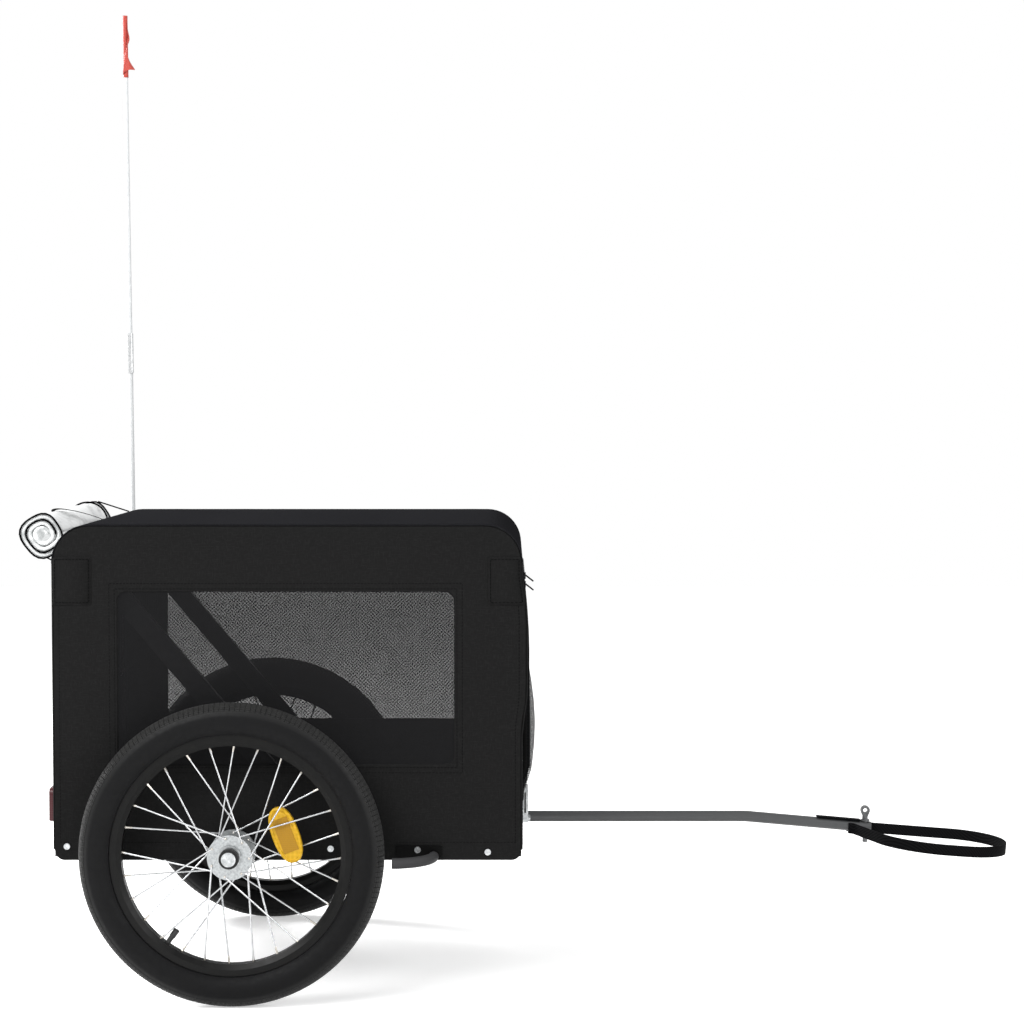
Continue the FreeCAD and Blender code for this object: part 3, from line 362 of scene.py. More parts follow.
def flat_panel(box, bottom_r, top_r, hole=None, hole_r=0, ripple=0, seed=0, hem=0):
    """A cloth panel in its own plane with rounded corners, a hem and slight waves."""
    cloth = bpy.context.scene.trailer_cloth
    low, high = box
    wave_width, wave_height = 0.11, 0.19
    bm = bmesh.new()
    ring(bm, box, bottom_r, top_r)
    if hole:
        ring(bm, hole, hole_r, hole_r)
    bmesh.ops.delete(bm, geom=bm.faces[:], context="FACES_ONLY")
    bmesh.ops.triangle_fill(bm, edges=bm.edges[:], use_beauty=True, normal=up)
    face_up(bm)
    if hem:
        bmesh.ops.inset_region(bm, faces=bm.faces[:], thickness=cloth.hem_r, use_boundary=True,
                               use_even_offset=True)
        rim = [vert for vert in bm.verts if vert.is_boundary]
        bmesh.ops.translate(bm, verts=rim, vec=-up * cloth.hem_r)
    slice_up(bm, 0, low.x, high.x, cloth.cell)
    slice_up(bm, 1, low.y, high.y, cloth.cell)
    face_up(bm)
    for vert in bm.verts:
        wave = noise.noise(Vector((vert.co.x / wave_width, vert.co.y / wave_height, seed)))
        vert.co.z += ripple * (0.5 + wave) * room(vert.co, box, hole)
    lay_threads(bm)
    if hem:
        edges = [edge for edge in bm.edges if edge.is_boundary]
        push(bm, bmesh.ops.extrude_edge_only(bm, edges=edges), -up * hem)
    return bm


def blocks_along(bm, line, pitch, size, lift=0):
    """Blocks in even rows along a line on a panel, such as stitches or zip teeth."""
    line = [Vector((*point, lift)) for point in line]
    for start, end in zip(line, line[1:]):
        run = end - start
        count = max(1, round(run.length / pitch))
        turn = run.to_track_quat("X", "Z").to_matrix().to_4x4()
        for i in range(count):
            block(bm, Matrix.Translation(start + run * ((i + 0.5) / count)) @ turn, size)


def stitch_row(bm, line, lift=0):
    """A row of stitches along a line on a panel."""
    cloth = bpy.context.scene.trailer_cloth
    thread_share = 0.62
    blocks_along(bm, line, cloth.stitch, (cloth.stitch * thread_share, cloth.thread, cloth.thread), lift)


def stitch_round(bm, box, by, lift=0):
    """A closed row of stitches inside a flat box, or outside it if the distance is negative."""
    line = corners_of(inset(box, by))
    stitch_row(bm, line + line[:1], lift)


# Materials

def add(tree, kind, values=None, links=None, **settings):
    """Add a node with its settings, input values and links."""
    made = tree.nodes.new("ShaderNode" + kind)
    for key, value in settings.items():
        setattr(made, key, value)
    for key, value in (values or {}).items():
        made.inputs[key].default_value = value
    for key, output in (links or {}).items():
        tree.links.new(output, made.inputs[key])
    return made


def rgba(shade):
    """A setting's colour or a hex code as a linear colour with alpha."""
    return (*(linear(shade) if isinstance(shade, str) else shade), 1)


def surface(name, base, values):
    """A new material with its constant values set on the shader."""
    made = bpy.data.materials.new(name)
    made.use_nodes = True
    shader = made.node_tree.nodes["Principled BSDF"]
    shader.inputs["Base Color"].default_value = rgba(base)
    for key, value in values.items():
        shader.inputs[key].default_value = value
    return made, made.node_tree, shader


def where(tree, kind="Object"):
    """Places on the object in metres, or on its flat cloth if the kind is UV."""
    return add(tree, "TexCoord").outputs[kind]


def cloud(tree, place, size, **values):
    """A noise pattern with lumps of a size in metres."""
    return add(tree, "TexNoise", {"Scale": 1 / size, **values}, {"Vector": place}).outputs[0]


def ribs(tree, place, pitch, way, **values):
    """Bands with a pitch in metres."""
    return add(tree, "TexWave", {"Scale": wave_band / pitch, **values}, {"Vector": place},
               bands_direction=way).outputs[1]


def maths(tree, operation, first, second):
    """Two values put together."""
    return add(tree, "Math", links={0: first, 1: second}, operation=operation).outputs[0]


def vector(tree, operation, place, values=None, output=0):
    """A step of vector maths."""
    return add(tree, "VectorMath", values, {0: place}, operation=operation).outputs[output]


def weave(tree, place, pitch, **values):
    """Ribs that cross one another."""
    return maths(tree, "MULTIPLY", *(ribs(tree, place, pitch, way, **values) for way in ("X", "Y")))


def spread(tree, value, low=0, high=1, least=0, most=1):
    """A part of a pattern's range, mapped to another range."""
    return add(tree, "MapRange", {1: low, 2: high, 3: least, 4: most}, {0: value}).outputs[0]


def tint(tree, shader, factor, first, second):
    """Mix the surface's colour from two by a pattern."""
    mixed = add(tree, "Mix", {6: rgba(first), 7: rgba(second)}, {0: factor}, data_type="RGBA")
    tree.links.new(mixed.outputs[2], shader.inputs["Base Color"])


def emboss(tree, shader, height, strength, depth):
    """Raise the surface by a pattern, with its depth in metres."""
    bump = add(tree, "Bump", {"Strength": strength, "Distance": depth}, {"Height": height})
    tree.links.new(bump.outputs[0], shader.inputs["Normal"])


def woven_polyester(name, dark, slub, shine):
    # Matt woven yarn: short paler slubs run both ways, over a fine rib and a soft sheen.
    # The real threads are 0.6 mm apart, and are drawn 1.5 mm apart so that they show.
    pitch, slub_width, squeeze = 0.0015, 0.0017, 0.2
    made, tree, shader = surface(name, dark, {
        "Roughness": 0.92, "Specular IOR Level": shine, "Sheen Weight": shine / 3, "Sheen Roughness": 0.5})
    place = where(tree, "UV")
    slubs = []
    for stretch in ((1, squeeze, 1), (squeeze, 1, 1)):
        turned = add(tree, "Mapping", {"Scale": stretch}, {"Vector": place}).outputs[0]
        slubs.append(cloud(tree, turned, slub_width, Detail=3.0, Roughness=0.6))
    tint(tree, shader, spread(tree, maths(tree, "MAXIMUM", *slubs), 0.5, 0.72), dark, slub)
    emboss(tree, shader, weave(tree, place, pitch, Distortion=1.2, Detail=1.0), 0.5, 0.0004)
    return made


def knotted_net(name, base, pitch, hole):
    # Coated polyester net: square open holes between dull threads.
    made, tree, shader = surface(name, base, {"Roughness": 0.8, "Specular IOR Level": 0.08})
    cells = vector(tree, "SCALE", where(tree, "UV"), {"Scale": 1 / pitch})
    centred = vector(tree, "SUBTRACT", vector(tree, "FRACTION", cells), {1: (0.5, 0.5, 0.5)})
    ways = add(tree, "SeparateXYZ", links={0: vector(tree, "ABSOLUTE", centred)})
    far = maths(tree, "MAXIMUM", ways.outputs[0], ways.outputs[1])
    thread = add(tree, "Math", {1: hole / 2}, {0: far}, operation="GREATER_THAN")
    tree.links.new(thread.outputs[0], shader.inputs["Alpha"])
    emboss(tree, shader, far, 0.4, 0.0003)
    return made


def nylon_webbing(name, base):
    # Tightly woven tape: slanting ribs across its width with a dull gloss.
    pitch = 0.0022
    made, tree, shader = surface(name, base, {"Roughness": 0.8, "Specular IOR Level": 0.03})
    slant = ribs(tree, where(tree, "UV"), pitch, "DIAGONAL", Distortion=0.6)
    tint(tree, shader, slant, base, tuple(0.002 + 2 * c for c in base))
    emboss(tree, shader, slant, 0.7, 0.0004)
    return made


def mottled(name, base, other, grain, relief, gloss, **values):
    """A hard surface whose colour and gloss change a little with its grain, in metres."""
    given = {key.replace("_", " "): value for key, value in values.items()}
    made, tree, shader = surface(name, base, given)
    place = where(tree)
    lumps = cloud(tree, place, grain, Detail=5.0, Roughness=0.6)
    tint(tree, shader, spread(tree, lumps, 0.35, 0.7), base, other)
    tree.links.new(spread(tree, lumps, 0.3, 0.7, *gloss), shader.inputs["Roughness"])
    emboss(tree, shader, cloud(tree, place, grain / 4, Detail=3.0), 0.35, relief)
    return made


def moulded_prisms(name, base, pitch, coat):
    # Acrylic reflector: a clear glossy skin over small moulded prisms that catch the light.
    made, tree, shader = surface(name, base, {
        "Roughness": 0.22, "IOR": 1.49, "Coat Weight": coat, "Coat Roughness": 0.06,
        "Specular IOR Level": coat})
    cells = add(tree, "TexVoronoi", {"Scale": 1 / pitch, "Randomness": 0.0}, {"Vector": where(tree)})
    away = cells.outputs["Distance"]
    tint(tree, shader, away, base, tuple(min(1, 0.02 + 1.5 * c) for c in base))
    emboss(tree, shader, away, 0.5, 0.0006)
    return made


def creased_film(name, white, crease_shade):
    # Clear PVC rolled on itself: pale and glossy, with painted grey shade in the creases along the roll.
    crease_width, squeeze = 0.03, 0.28
    made, tree, shader = surface(name, white, {
        "Roughness": 0.28, "IOR": 1.52, "Coat Weight": 0.35, "Coat Roughness": 0.12,
        "Subsurface Weight": 0.15, "Subsurface Radius": (0.004, 0.004, 0.004)})
    long = add(tree, "Mapping", {"Scale": (1, squeeze, 1)}, {"Vector": where(tree)}).outputs[0]
    folds = cloud(tree, long, crease_width, Detail=4.0, Distortion=1.4)
    # The grey in the creases is painted shade.
    tint(tree, shader, spread(tree, folds, 0.52, 0.78), white, crease_shade)
    emboss(tree, shader, folds, 0.6, 0.002)
    return made


def tread_rubber(name, rubber, tread_dust_and_highlight, centre, radius):
    # Moulded rubber: dull black sidewalls, and a tread that is paler where it meets the road, partly from
    # dust and partly as a painted highlight.
    speck, dust_and_highlight_start, dust_and_highlight_full = 0.006, 0.016, 0.003
    dull, shiny = 0.12, 0.3
    made, tree, shader = surface(name, rubber, {"Roughness": 0.55, "Specular IOR Level": dull})
    place = where(tree)
    flat = vector(tree, "MULTIPLY", place, {1: (1, 0, 1)})
    reach = vector(tree, "DISTANCE", flat, {1: (centre.x, 0, centre.z)}, "Value")
    worn_and_highlight_band = spread(tree, reach, radius - dust_and_highlight_start, radius - dust_and_highlight_full)
    specks = cloud(tree, place, speck, Detail=5.0)
    tree.links.new(spread(tree, worn_and_highlight_band, least=dull, most=shiny), shader.inputs["Specular IOR Level"])
    # The tread band's paler colour is partly dust and partly a painted highlight.
    tint(tree, shader, maths(tree, "MULTIPLY", worn_and_highlight_band, specks), rubber, tread_dust_and_highlight)
    tree.links.new(spread(tree, specks, 0.3, 0.7, 0.48, 0.66), shader.inputs["Roughness"])
    emboss(tree, shader, specks, 0.25, 0.0004)
    return made


def dipped_steel_painted_light(name, dark, pale):
    # Dipped steel: near black at the wall, and a greyer bar further out, whose grey is painted light where
    # it stands out into the light.
    plate, fade, grain = 0.003, 0.006, 0.004
    made, tree, shader = surface(name, dark, {"Specular IOR Level": 0.06})
    place = where(tree)
    across = add(tree, "SeparateXYZ", links={0: place}).outputs[1]
    out = add(tree, "Math", links={0: across}, operation="ABSOLUTE").outputs[0]
    # The greyer colour away from the wall is painted light on the bar's lit outer face.
    tint(tree, shader, spread(tree, out, wall_y + plate, wall_y + fade), dark, pale)
    rough = spread(tree, cloud(tree, place, grain, Detail=3.0), least=0.4, most=0.6)
    tree.links.new(rough, shader.inputs["Roughness"])
    return made


def flag_nylon(name, base):
    # Thin nylon: bright, with light shining through and a fine plain weave.
    pitch, shadow = 0.0012, 0.82
    made, tree, shader = surface(name, base, {
        "Roughness": 0.6, "Specular IOR Level": 0.35, "Sheen Weight": 0.2,
        "Subsurface Weight": 0.2, "Subsurface Radius": (0.004, 0.002, 0.001)})
    threads = weave(tree, where(tree, "UV"), pitch)
    tint(tree, shader, threads, tuple(c * shadow for c in base), base)
    emboss(tree, shader, threads, 0.4, 0.0003)
    return made


# Finishes that several pieces share, each made at its first use

def once(make, name, *values, **more):
    return bpy.data.materials.get(name) or make(name, *values, **more)


def cloth_finish():
    """The cabin's own cloth."""
    cloth = bpy.context.scene.trailer_cloth
    return once(woven_polyester, "woven_polyester", cloth.dark, cloth.slub, 0.08)


def tape_finish():
    """Black binding tape and webbing."""
    return once(nylon_webbing, "nylon_webbing", bpy.context.scene.trailer_cloth.binding)


def oxide_finish():
    # Black oxide on the axle heads and zip sliders: almost matt, with the faint sheen of oiled steel.
    return once(mottled, "black_oxide_steel", "141414", "202021", 0.003, 0.0001, (0.4, 0.55), Metallic=0.5)


def rubber_finish():
    # Valve stems and the bracket's pad are soft black rubber.
    return once(mottled, "moulded_rubber", "111112", "1c1c1c", 0.002, 0.0002, (0.5, 0.65))


def dress(material, *nodes):
    """Give CAD nodes a finish."""
    for name in nodes:
        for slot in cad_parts[name].material_slots:
            slot.material = material


# Operators

class TrailerMetalwork(bpy.types.Operator):
    """Finish the frame, wheels and towing parts that keep their CAD shape"""
    bl_idname = "trailer.metalwork"
    bl_label = "Metalwork"

    def execute(self, context):
        wheels = context.scene.trailer_wheels
        trims = context.scene.trailer_trims

        def pair(*parts):
            """The nodes of parts that both wheels have."""
            return [side + "_" + part for part in parts for side in ("right", "left")]

        # Powder-coated steel: an even satin black with a slight orange peel.
        dress(mottled("powder_coated_steel", trims.paint, "212122", 0.004, 0.0002, (0.38, 0.52),
                      Specular_IOR_Level=0.5),
              "base_side_rails", "base_cross_tubes", "axle_cross_tube", "post_brackets", "top_rails",
              "roof_cross_bars")
        # Glass-filled nylon: dull black with a fine moulded grain.
        dress(mottled("moulded_nylon", "151516", "1d1d1e", 0.0016, 0.0003, (0.5, 0.68)),
              "base_connectors", "flag_socket")
        # Flat drawn alloy of the folding posts: dark anodised, with a soft gloss.
        dress(mottled("anodised_alloy", "1a1a1b", "262627", 0.01, 0.0001, (0.34, 0.5), Metallic=0.6),
              "rear_lower_posts", "rear_upper_posts", "front_lower_posts", "front_upper_posts", "struts")
        # Painted alloy rim: satin black that mirrors the light in broad bands.
        dress(mottled("satin_black_alloy", wheels.rim, "0f0f0e", 0.012, 0.0001, (0.3, 0.42),
                      Specular_IOR_Level=0.14), *pair("rim"))
        # Polished stainless wire: bright, mirroring the white studio.
        dress(mottled("stainless_wire", wheels.steel, "a9abad", 0.01, 0.00005, (0.18, 0.3), Metallic=1.0),
              *pair("spokes"))
        # Cast alloy with a tumbled skin: pale grey and softly bright.
        dress(mottled("tumbled_alloy", wheels.hub, "8f9293", 0.003, 0.0002, (0.32, 0.46), Metallic=0.9),
              *pair("hub"))
        # Zinc-plated steel: bright with a faint cloudy bloom.
        dress(mottled("zinc_plated_steel", trims.zinc, "96999b", 0.005, 0.0001, (0.22, 0.38), Metallic=1.0),
              *pair("bearings", "axle_button", "button_spring"), "hem_screws", "tow_bracket",
              "tow_bracket_bolts")
        # Worn steel of the pin: a dull grey that only glints on its ring.
        dress(mottled("worn_steel", "6c6d6e", "4a4b4c", 0.004, 0.0001, (0.3, 0.46), Metallic=0.8),
              "hitch_pin")
        # Grey baked enamel on the tow bar: even, with a soft highlight along the tube.
        dress(mottled("grey_enamel", trims.tow, "424344", 0.006, 0.0001, (0.3, 0.42), Metallic=0.25),
              "tow_bar")
        # Pultruded glass fibre: off-white with faint streaks.
        dress(mottled("glass_fibre", trims.pole, "c3c5c6", 0.008, 0.0001, (0.3, 0.45)), "flag_pole")
        # Drawn aluminium: a pale tube with a soft metal gloss.
        dress(mottled("drawn_aluminium", "cfd0d1", "a5a7a8", 0.004, 0.0001, (0.25, 0.4), Metallic=0.9),
              "pole_ferrule")
        # Laminated board: dark, with a fine leathery print.
        dress(mottled("laminated_board", trims.board, "2a2a2b", 0.003, 0.0004, (0.5, 0.65)), "floor_board")
        # The guards' greyer outer bar is painted light.
        dress(dipped_steel_painted_light("dipped_steel_painted_light", "060606", "3c3c3d"), "wheel_guards")
        dress(oxide_finish(), "axle_shafts")
        dress(rubber_finish(), *pair("valve"))
        return {"FINISHED"}


class TrailerTyres(bpy.types.Operator):
    """Make the tyres with their tread blocks"""
    bl_idname = "trailer.tyres"
    bl_label = "Tyres"

    def execute(self, context):
        wheels = context.scene.trailer_wheels
        seat, bead_share, ring_height = 0.0004, 0.6, 0.0005
        # In degrees from the crown: two raised rings on each sidewall, and the edge of the tread.
        rings, shoulder = ((66, 72), (112, 118)), 50
        for side in ("right", "left"):
            low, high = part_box(side + "_tyre")
            centre = (low + high) / 2
            radius = (high.x - low.x) / 2
            rim_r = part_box(side + "_rim")[1].x - centre.x
            half = (high.y - low.y) / 2 - wheels.tread
            middle = radius - wheels.tread - half
            foot = math.acos((rim_r + seat - middle) / half)
            bm = bmesh.new()
            start = bm.verts.new((0, -half * math.sin(foot), middle + half * math.cos(foot)))
            bmesh.ops.spin(bm, geom=[start], cent=(0, 0, middle), axis=(-1, 0, 0), angle=2 * foot, steps=38)
            for vert in bm.verts:
                lean = math.degrees(math.atan2(abs(vert.co.y), vert.co.z - middle))
                if any(a < lean < b for a, b in rings):
                    away = vert.co - Vector((0, 0, middle))
                    vert.co += away.normalized() * ring_height
            ends = [vert for vert in bm.verts if len(vert.link_edges) == 1]
            bead = bmesh.ops.extrude_vert_indiv(bm, verts=ends)["verts"]
            for vert in bead:
                vert.co.y *= bead_share
            bm.edges.new(bead)
            turn_round(bm, wheels.blocks)
            tread = []
            for face in bm.faces:
                spot = face.calc_center_median()
                reach = math.hypot(spot.x, spot.z)
                if abs(math.degrees(math.atan2(spot.y, reach - middle))) < shoulder:
                    tread.append(face)
            bmesh.ops.inset_individual(bm, faces=tread, thickness=wheels.groove, depth=wheels.tread,
                                       use_even_offset=True)
            bmesh.ops.translate(bm, verts=bm.verts[:], vec=centre)
            rubber = tread_rubber(side + "_tread_rubber", wheels.rubber, wheels.tread_dust_and_highlight, centre, radius)
            piece(side + "_tyre_tread", bm, side + "_wheel", [rubber], [side + "_tyre"])
        return {"FINISHED"}


class TrailerSpokeFittings(bpy.types.Operator):
    """Make the spokes' nipples at the rim and their heads at the hub"""
    bl_idname = "trailer.spoke_fittings"
    bl_label = "Spoke Fittings"

    def execute(self, context):
        wheels = context.scene.trailer_wheels
        # Nickel-plated brass: a warm pale metal.
        brass = mottled("nickel_plated_brass", "cfcac2", "a8a49c", 0.002, 0.0001, (0.25, 0.4), Metallic=1.0)
        # The CAD spokes' own sizes: where they start and end, and how they are laced
        hub_r, rim_r, wire_r = 0.0255, 0.1445, 0.001
        flange_wall, rim_offset, first = 0.005, 0.002, math.radians(4.9)
        taper, head = 0.72, 0.95
        per_side = 14
        step = 2 * math.pi / per_side
        for side, sign in sides:
            low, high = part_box(side + "_spokes")
            centre = (low + high) / 2
            reach = (high.y - low.y) / 2 - wire_r
            bm = bmesh.new()
            for flange in (-1, 1):
                for i in range(per_side):
                    lead = 1 if i % 2 == 0 else -1
                    angle = step / 4 * flange + first + i * step
                    turn = angle + lead * 2 * step
                    hub = Vector((hub_r * math.cos(angle), 0, hub_r * math.sin(angle)))
                    hub.y = sign * flange * (reach - (1 - lead) / 2 * flange_wall)
                    rim = Vector((rim_r * math.cos(turn), 0, rim_r * math.sin(turn)))
                    rim.y = sign * flange * rim_offset
                    along = (hub - rim).normalized()
                    foot = centre + rim
                    rod(bm, foot, foot + along * wheels.nipple, wheels.nipple_r, wheels.nipple_r * taper)
                    bmesh.ops.create_uvsphere(
                        bm, u_segments=8, v_segments=5, radius=wheels.nipple_r * head,
                        matrix=Matrix.Translation(centre + hub))
            piece(side + "_spoke_fittings", bm, side + "_wheel", [brass])
        return {"FINISHED"}


class TrailerSideCloth(bpy.types.Operator):
    """Make the side panels with their windows and corner patches"""
    bl_idname = "trailer.side_cloth"
    bl_label = "Side Cloth"

    def execute(self, context):
        cloth = context.scene.trailer_cloth
        net = knotted_net("window_net", cloth.net, cloth.net_pitch, cloth.net_hole)
        window_seams, hem_seam, edge_seam, seam_top, seam_end = (0.004, 0.011), 0.024, 0.008, 0.06, 0.006
        net_gap, net_ripple = 0.0006, 0.0008
        rear_patch, front_patch, patch_out = 0.051, 0.044, 0.0014
        patch_r, patch_seam, patch_ripple = 0.003, 0.003, 0.0003
        patches = bmesh.new()
        patch_seams = bmesh.new()
        patch_low, patch_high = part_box("corner_patches")
        for side, sign in sides:
            box = side_box(side_low, side_high, sign)
            low, high = box
            net_box = side_box(net_low, net_high, sign)
            hole = inset(net_box, cloth.border)
            bm = flat_panel(box, cloth.bottom_r, cloth.top_r, hole, cloth.window_r, cloth.ripple, 3 + sign,
                            cloth.hem)
            bm.transform(standing(side, wall_y))
            swell(bm)
            panel = piece(side + "_side_cloth", bm, "base", [cloth_finish()],
                          [side + "_side_panel"], cloth.wall, folds=True)

            seams = bmesh.new()
            for gap in window_seams:
                stitch_round(seams, hole, -gap)
            foot = low.y + hem_seam
            stitch_row(seams, [(low.x + seam_end, foot), (high.x - seam_end, foot)])
            for edge in (low.x + edge_seam, high.x - edge_seam):
                stitch_row(seams, [(edge, foot), (edge, high.y - seam_top)])
            seams.transform(standing(side, wall_y))
            swell(seams)
            threads = sewing(side + "_side_stitches", seams)

            bm = flat_panel(net_box, cloth.window_r, cloth.window_r, ripple=net_ripple, seed=8)
            if side == "left":
                # Seen through one another, two nets with the same lay make a coarse pattern.
                lay = Matrix.Rotation(math.radians(45), 2)
                layer = bm.loops.layers.uv["threads"]
                for loop in (loop for face in bm.faces for loop in face.loops):
                    loop[layer].uv = lay @ loop[layer].uv
            bm.transform(standing(side, wall_y - cloth.wall - net_gap))
            window = piece(side + "_window_net", bm, "base", [net], [side + "_window_mesh"],
                           folds=True)

            rear = Vector((patch_low.x + rear_patch, 0, patch_high.z))
            front = Vector((patch_high.x - front_patch, 0, patch_low.z))
            for patch in (side_box(patch_low, rear, sign), side_box(front, patch_high, sign)):
                bm = flat_panel(patch, patch_r, patch_r, ripple=patch_ripple, seed=5)
                row = bmesh.new()
                stitch_round(row, patch, patch_seam, patch_ripple)
                for whole, part in ((patches, bm), (patch_seams, row)):
                    part.transform(standing(side, wall_y + patch_out))
                    swell(part)
                    join(whole, part)
        sewn = sewing("patch_stitches", patch_seams)
        corner = piece("sewn_corner_patches", patches, "base", [cloth_finish()],
                       ["corner_patches"], cloth.patch, folds=True)
        return {"FINISHED"}


class TrailerEndCloth(bpy.types.Operator):
    """Make the front and rear walls with their door openings"""
    bl_idname = "trailer.end_cloth"
    bl_label = "End Cloth"

    def execute(self, context):
        cloth = context.scene.trailer_cloth
        foot_r, head_r = 0.004, 0.001
        door_seam, edge_seam = 0.006, 0.007
        box = end_box(front_low, front_high)
        for side, place, door in (("front", front_high.x, end_box(front_door_low, front_door_high)),
                                  ("rear", -rear_low.x, end_box(rear_door_low, rear_door_high))):
            doorway = inset(door, cloth.lap)
            bm = flat_panel(box, foot_r, head_r, doorway, cloth.door_r, cloth.ripple / 3, 11, cloth.edge)
            seams = bmesh.new()
            stitch_round(seams, doorway, -door_seam)
            stitch_round(seams, box, edge_seam)
            for part in (bm, seams):
                part.transform(standing(side, place))
                swell(part)
            wall = piece(side + "_end_cloth", bm, "base", [cloth_finish()], [side + "_panel"],
                         cloth.wall, folds=True)
            threads = sewing(side + "_end_stitches", seams)
        return {"FINISHED"}


class TrailerRoofCloth(bpy.types.Operator):
    """Make the roof cover, which sags a little between its bars"""
    bl_idname = "trailer.roof_cloth"
    bl_label = "Roof Cloth"

    def execute(self, context):
        cloth = context.scene.trailer_cloth
        # A lighter copy of the cabin cloth: its extra lightness is painted light from above.
        finish = woven_polyester("woven_roof_polyester_painted_light", cloth.roof, cloth.roof_slub_painted_light, 0.0)
        corner, bar_r, seam, flat = 0.05, 0.008, 0.006, 0.0005
        ripple, wave_length, wave_width, seed = 0.0014, 0.05, 0.12, 2.0
        gain, least = 4, 0.35
        bm = bmesh.new()
        line = [bm.verts.new((x, roof_low.y, z)) for x, z in (
            (roof_low.x, roof_low.z), (roof_low.x, roof_high.z),
            (roof_high.x, roof_high.z), (roof_high.x, roof_low.z))]
        edges = [bm.edges.new(pair) for pair in zip(line, line[1:])]
        push(bm, bmesh.ops.extrude_edge_only(bm, edges=edges), (0, roof_high.y - roof_low.y, 0))
        round_off(bm, [edge for edge in bm.edges if len(edge.link_faces) == 2], corner, segments=12)
        slice_up(bm, 1, roof_low.y, roof_high.y, cloth.cell)
        slice_up(bm, 0, roof_low.x, roof_high.x, cloth.cell)
        face_up(bm)
        lay_threads(bm)
        bars_low, bars_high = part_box("roof_cross_bars")
        first, last = bars_low.x + bar_r, bars_high.x - bar_r
        bars = (first, (first + last) / 2, last)
        half_bay = (bars[1] - bars[0]) / 2
        for vert in bm.verts:
            if vert.co.z < roof_high.z - flat:
                continue
            span = min(abs(vert.co.x - bar) for bar in bars) / half_bay
            edge = max(0, 1 - (abs(vert.co.y) / roof_high.y) ** 6)
            wave = noise.noise(Vector((vert.co.x / wave_length, vert.co.y / wave_width, seed)))
            vert.co.z += ripple * max(0, wave) * min(1, gain * edge + least)
            vert.co.z -= min(1, span) ** 2 * cloth.sag * edge
        cover = piece("roof_cloth", bm, "top_frame", [finish], ["roof_cover"], cloth.wall)

        # A seam allowance runs round each side of the roof, sewn down along its edge.
        seams = bmesh.new()
        for side in (-1, 1):
            y = side * (roof_high.y - seam)
            stitch_row(seams, [(roof_low.x + corner, y), (roof_high.x - corner, y)], roof_high.z)
        threads = sewing("roof_stitches", seams, "top_frame", folds=False)
        return {"FINISHED"}


class TrailerFrontDoor(bpy.types.Operator):
    """Make the front door of net in a black binding"""
    bl_idname = "trailer.front_door"
    bl_label = "Front Door"

    def execute(self, context):
        cloth = context.scene.trailer_cloth
        box = end_box(front_door_low, front_door_high)
        low, high = box
        hole = inset(box, cloth.band)
        hole_r, near, net_back, net_open = 0.004, 0.002, 0.0008, 0.9
        stand = standing("front", front_door_high.x)
        bm = flat_panel(box, cloth.door_r, cloth.door_r, hole, hole_r, hem=cloth.edge)
        # The tape's outer edge is sewn to a strip of cloth that closes the gap to the wall.
        strip_share = 0.85
        skirt = []
        for vert in bm.verts:
            inner = all(hole[0][i] - near < vert.co[i] < hole[1][i] + near for i in (0, 1))
            outer = not inner and vert.co.z < -cloth.hem_r / 2
            vert.co.z += self.bulge(vert.co, low, high) * (strip_share if outer else 1)
            if outer and vert.is_boundary:
                skirt.append(vert)
        edges = [edge for edge in bm.edges
                 if edge.is_boundary and all(vert in skirt for vert in edge.verts)]
        for part in bmesh.ops.extrude_edge_only(bm, edges=edges)["geom"]:
            if isinstance(part, bmesh.types.BMVert):
                part.co.z = -cloth.hem_r
            elif isinstance(part, bmesh.types.BMFace):
                part.material_index = 1
        face_up(bm)
        bm.transform(stand)
        tape = piece("front_door_tape", bm, "front_door", [tape_finish(), cloth_finish()],
                     ["front_door_binding"], cloth.wall, folds=True)

        net = knotted_net("door_net", cloth.door_net, cloth.net_pitch, cloth.net_hole * net_open)
        bm = flat_panel(inset(hole, -cloth.band / 4), hole_r, hole_r)
        for vert in bm.verts:
            vert.co.z += self.bulge(vert.co, low, high) - net_back
        bm.transform(stand)
        sheet = piece("front_door_net", bm, "front_door", [net], ["front_door_mesh"],
                      folds=True)
        return {"FINISHED"}

    @staticmethod
    def bulge(spot, low, high):
        """How far the slack door stands out: evenly at its edge, and more low down in its middle."""
        edge_depth, belly_depth = 0.0073, 0.0104
        # Shares of the door's height
        top_fade, belly_top, foot, foot_corner, foot_fade = 0.35, 0.56, 0.035, 0.085, 0.025
        across = spot.x / ((high.x - low.x) / 2)
        rise = min(1, max(0, (spot.y - low.y) / (high.y - low.y)))
        edge = math.sin(math.pi / 2 * min(1, (1 - rise) / top_fade))
        belly = math.sin(math.pi * max(0, belly_top - rise) / belly_top) * max(0, 1 - across ** 2)
        flat = foot + foot_corner * across ** 4
        return (edge_depth * edge + belly_depth * belly) * min(1, max(0, rise - flat) / foot_fade)


class TrailerRearDoor(bpy.types.Operator):
    """Make the rear door flap"""
    bl_idname = "trailer.rear_door"
    bl_label = "Rear Door"

    def execute(self, context):
        cloth = context.scene.trailer_cloth
        bm = flat_panel(end_box(rear_door_low, rear_door_high), cloth.door_r, cloth.door_r,
                        ripple=cloth.ripple * 1.5, seed=21, hem=cloth.edge)
        bm.transform(standing("rear", -rear_door_low.x))
        flap = piece("rear_door_flap", bm, "rear_door", [cloth_finish()], ["rear_door"],
                     cloth.wall, folds=True)
        return {"FINISHED"}


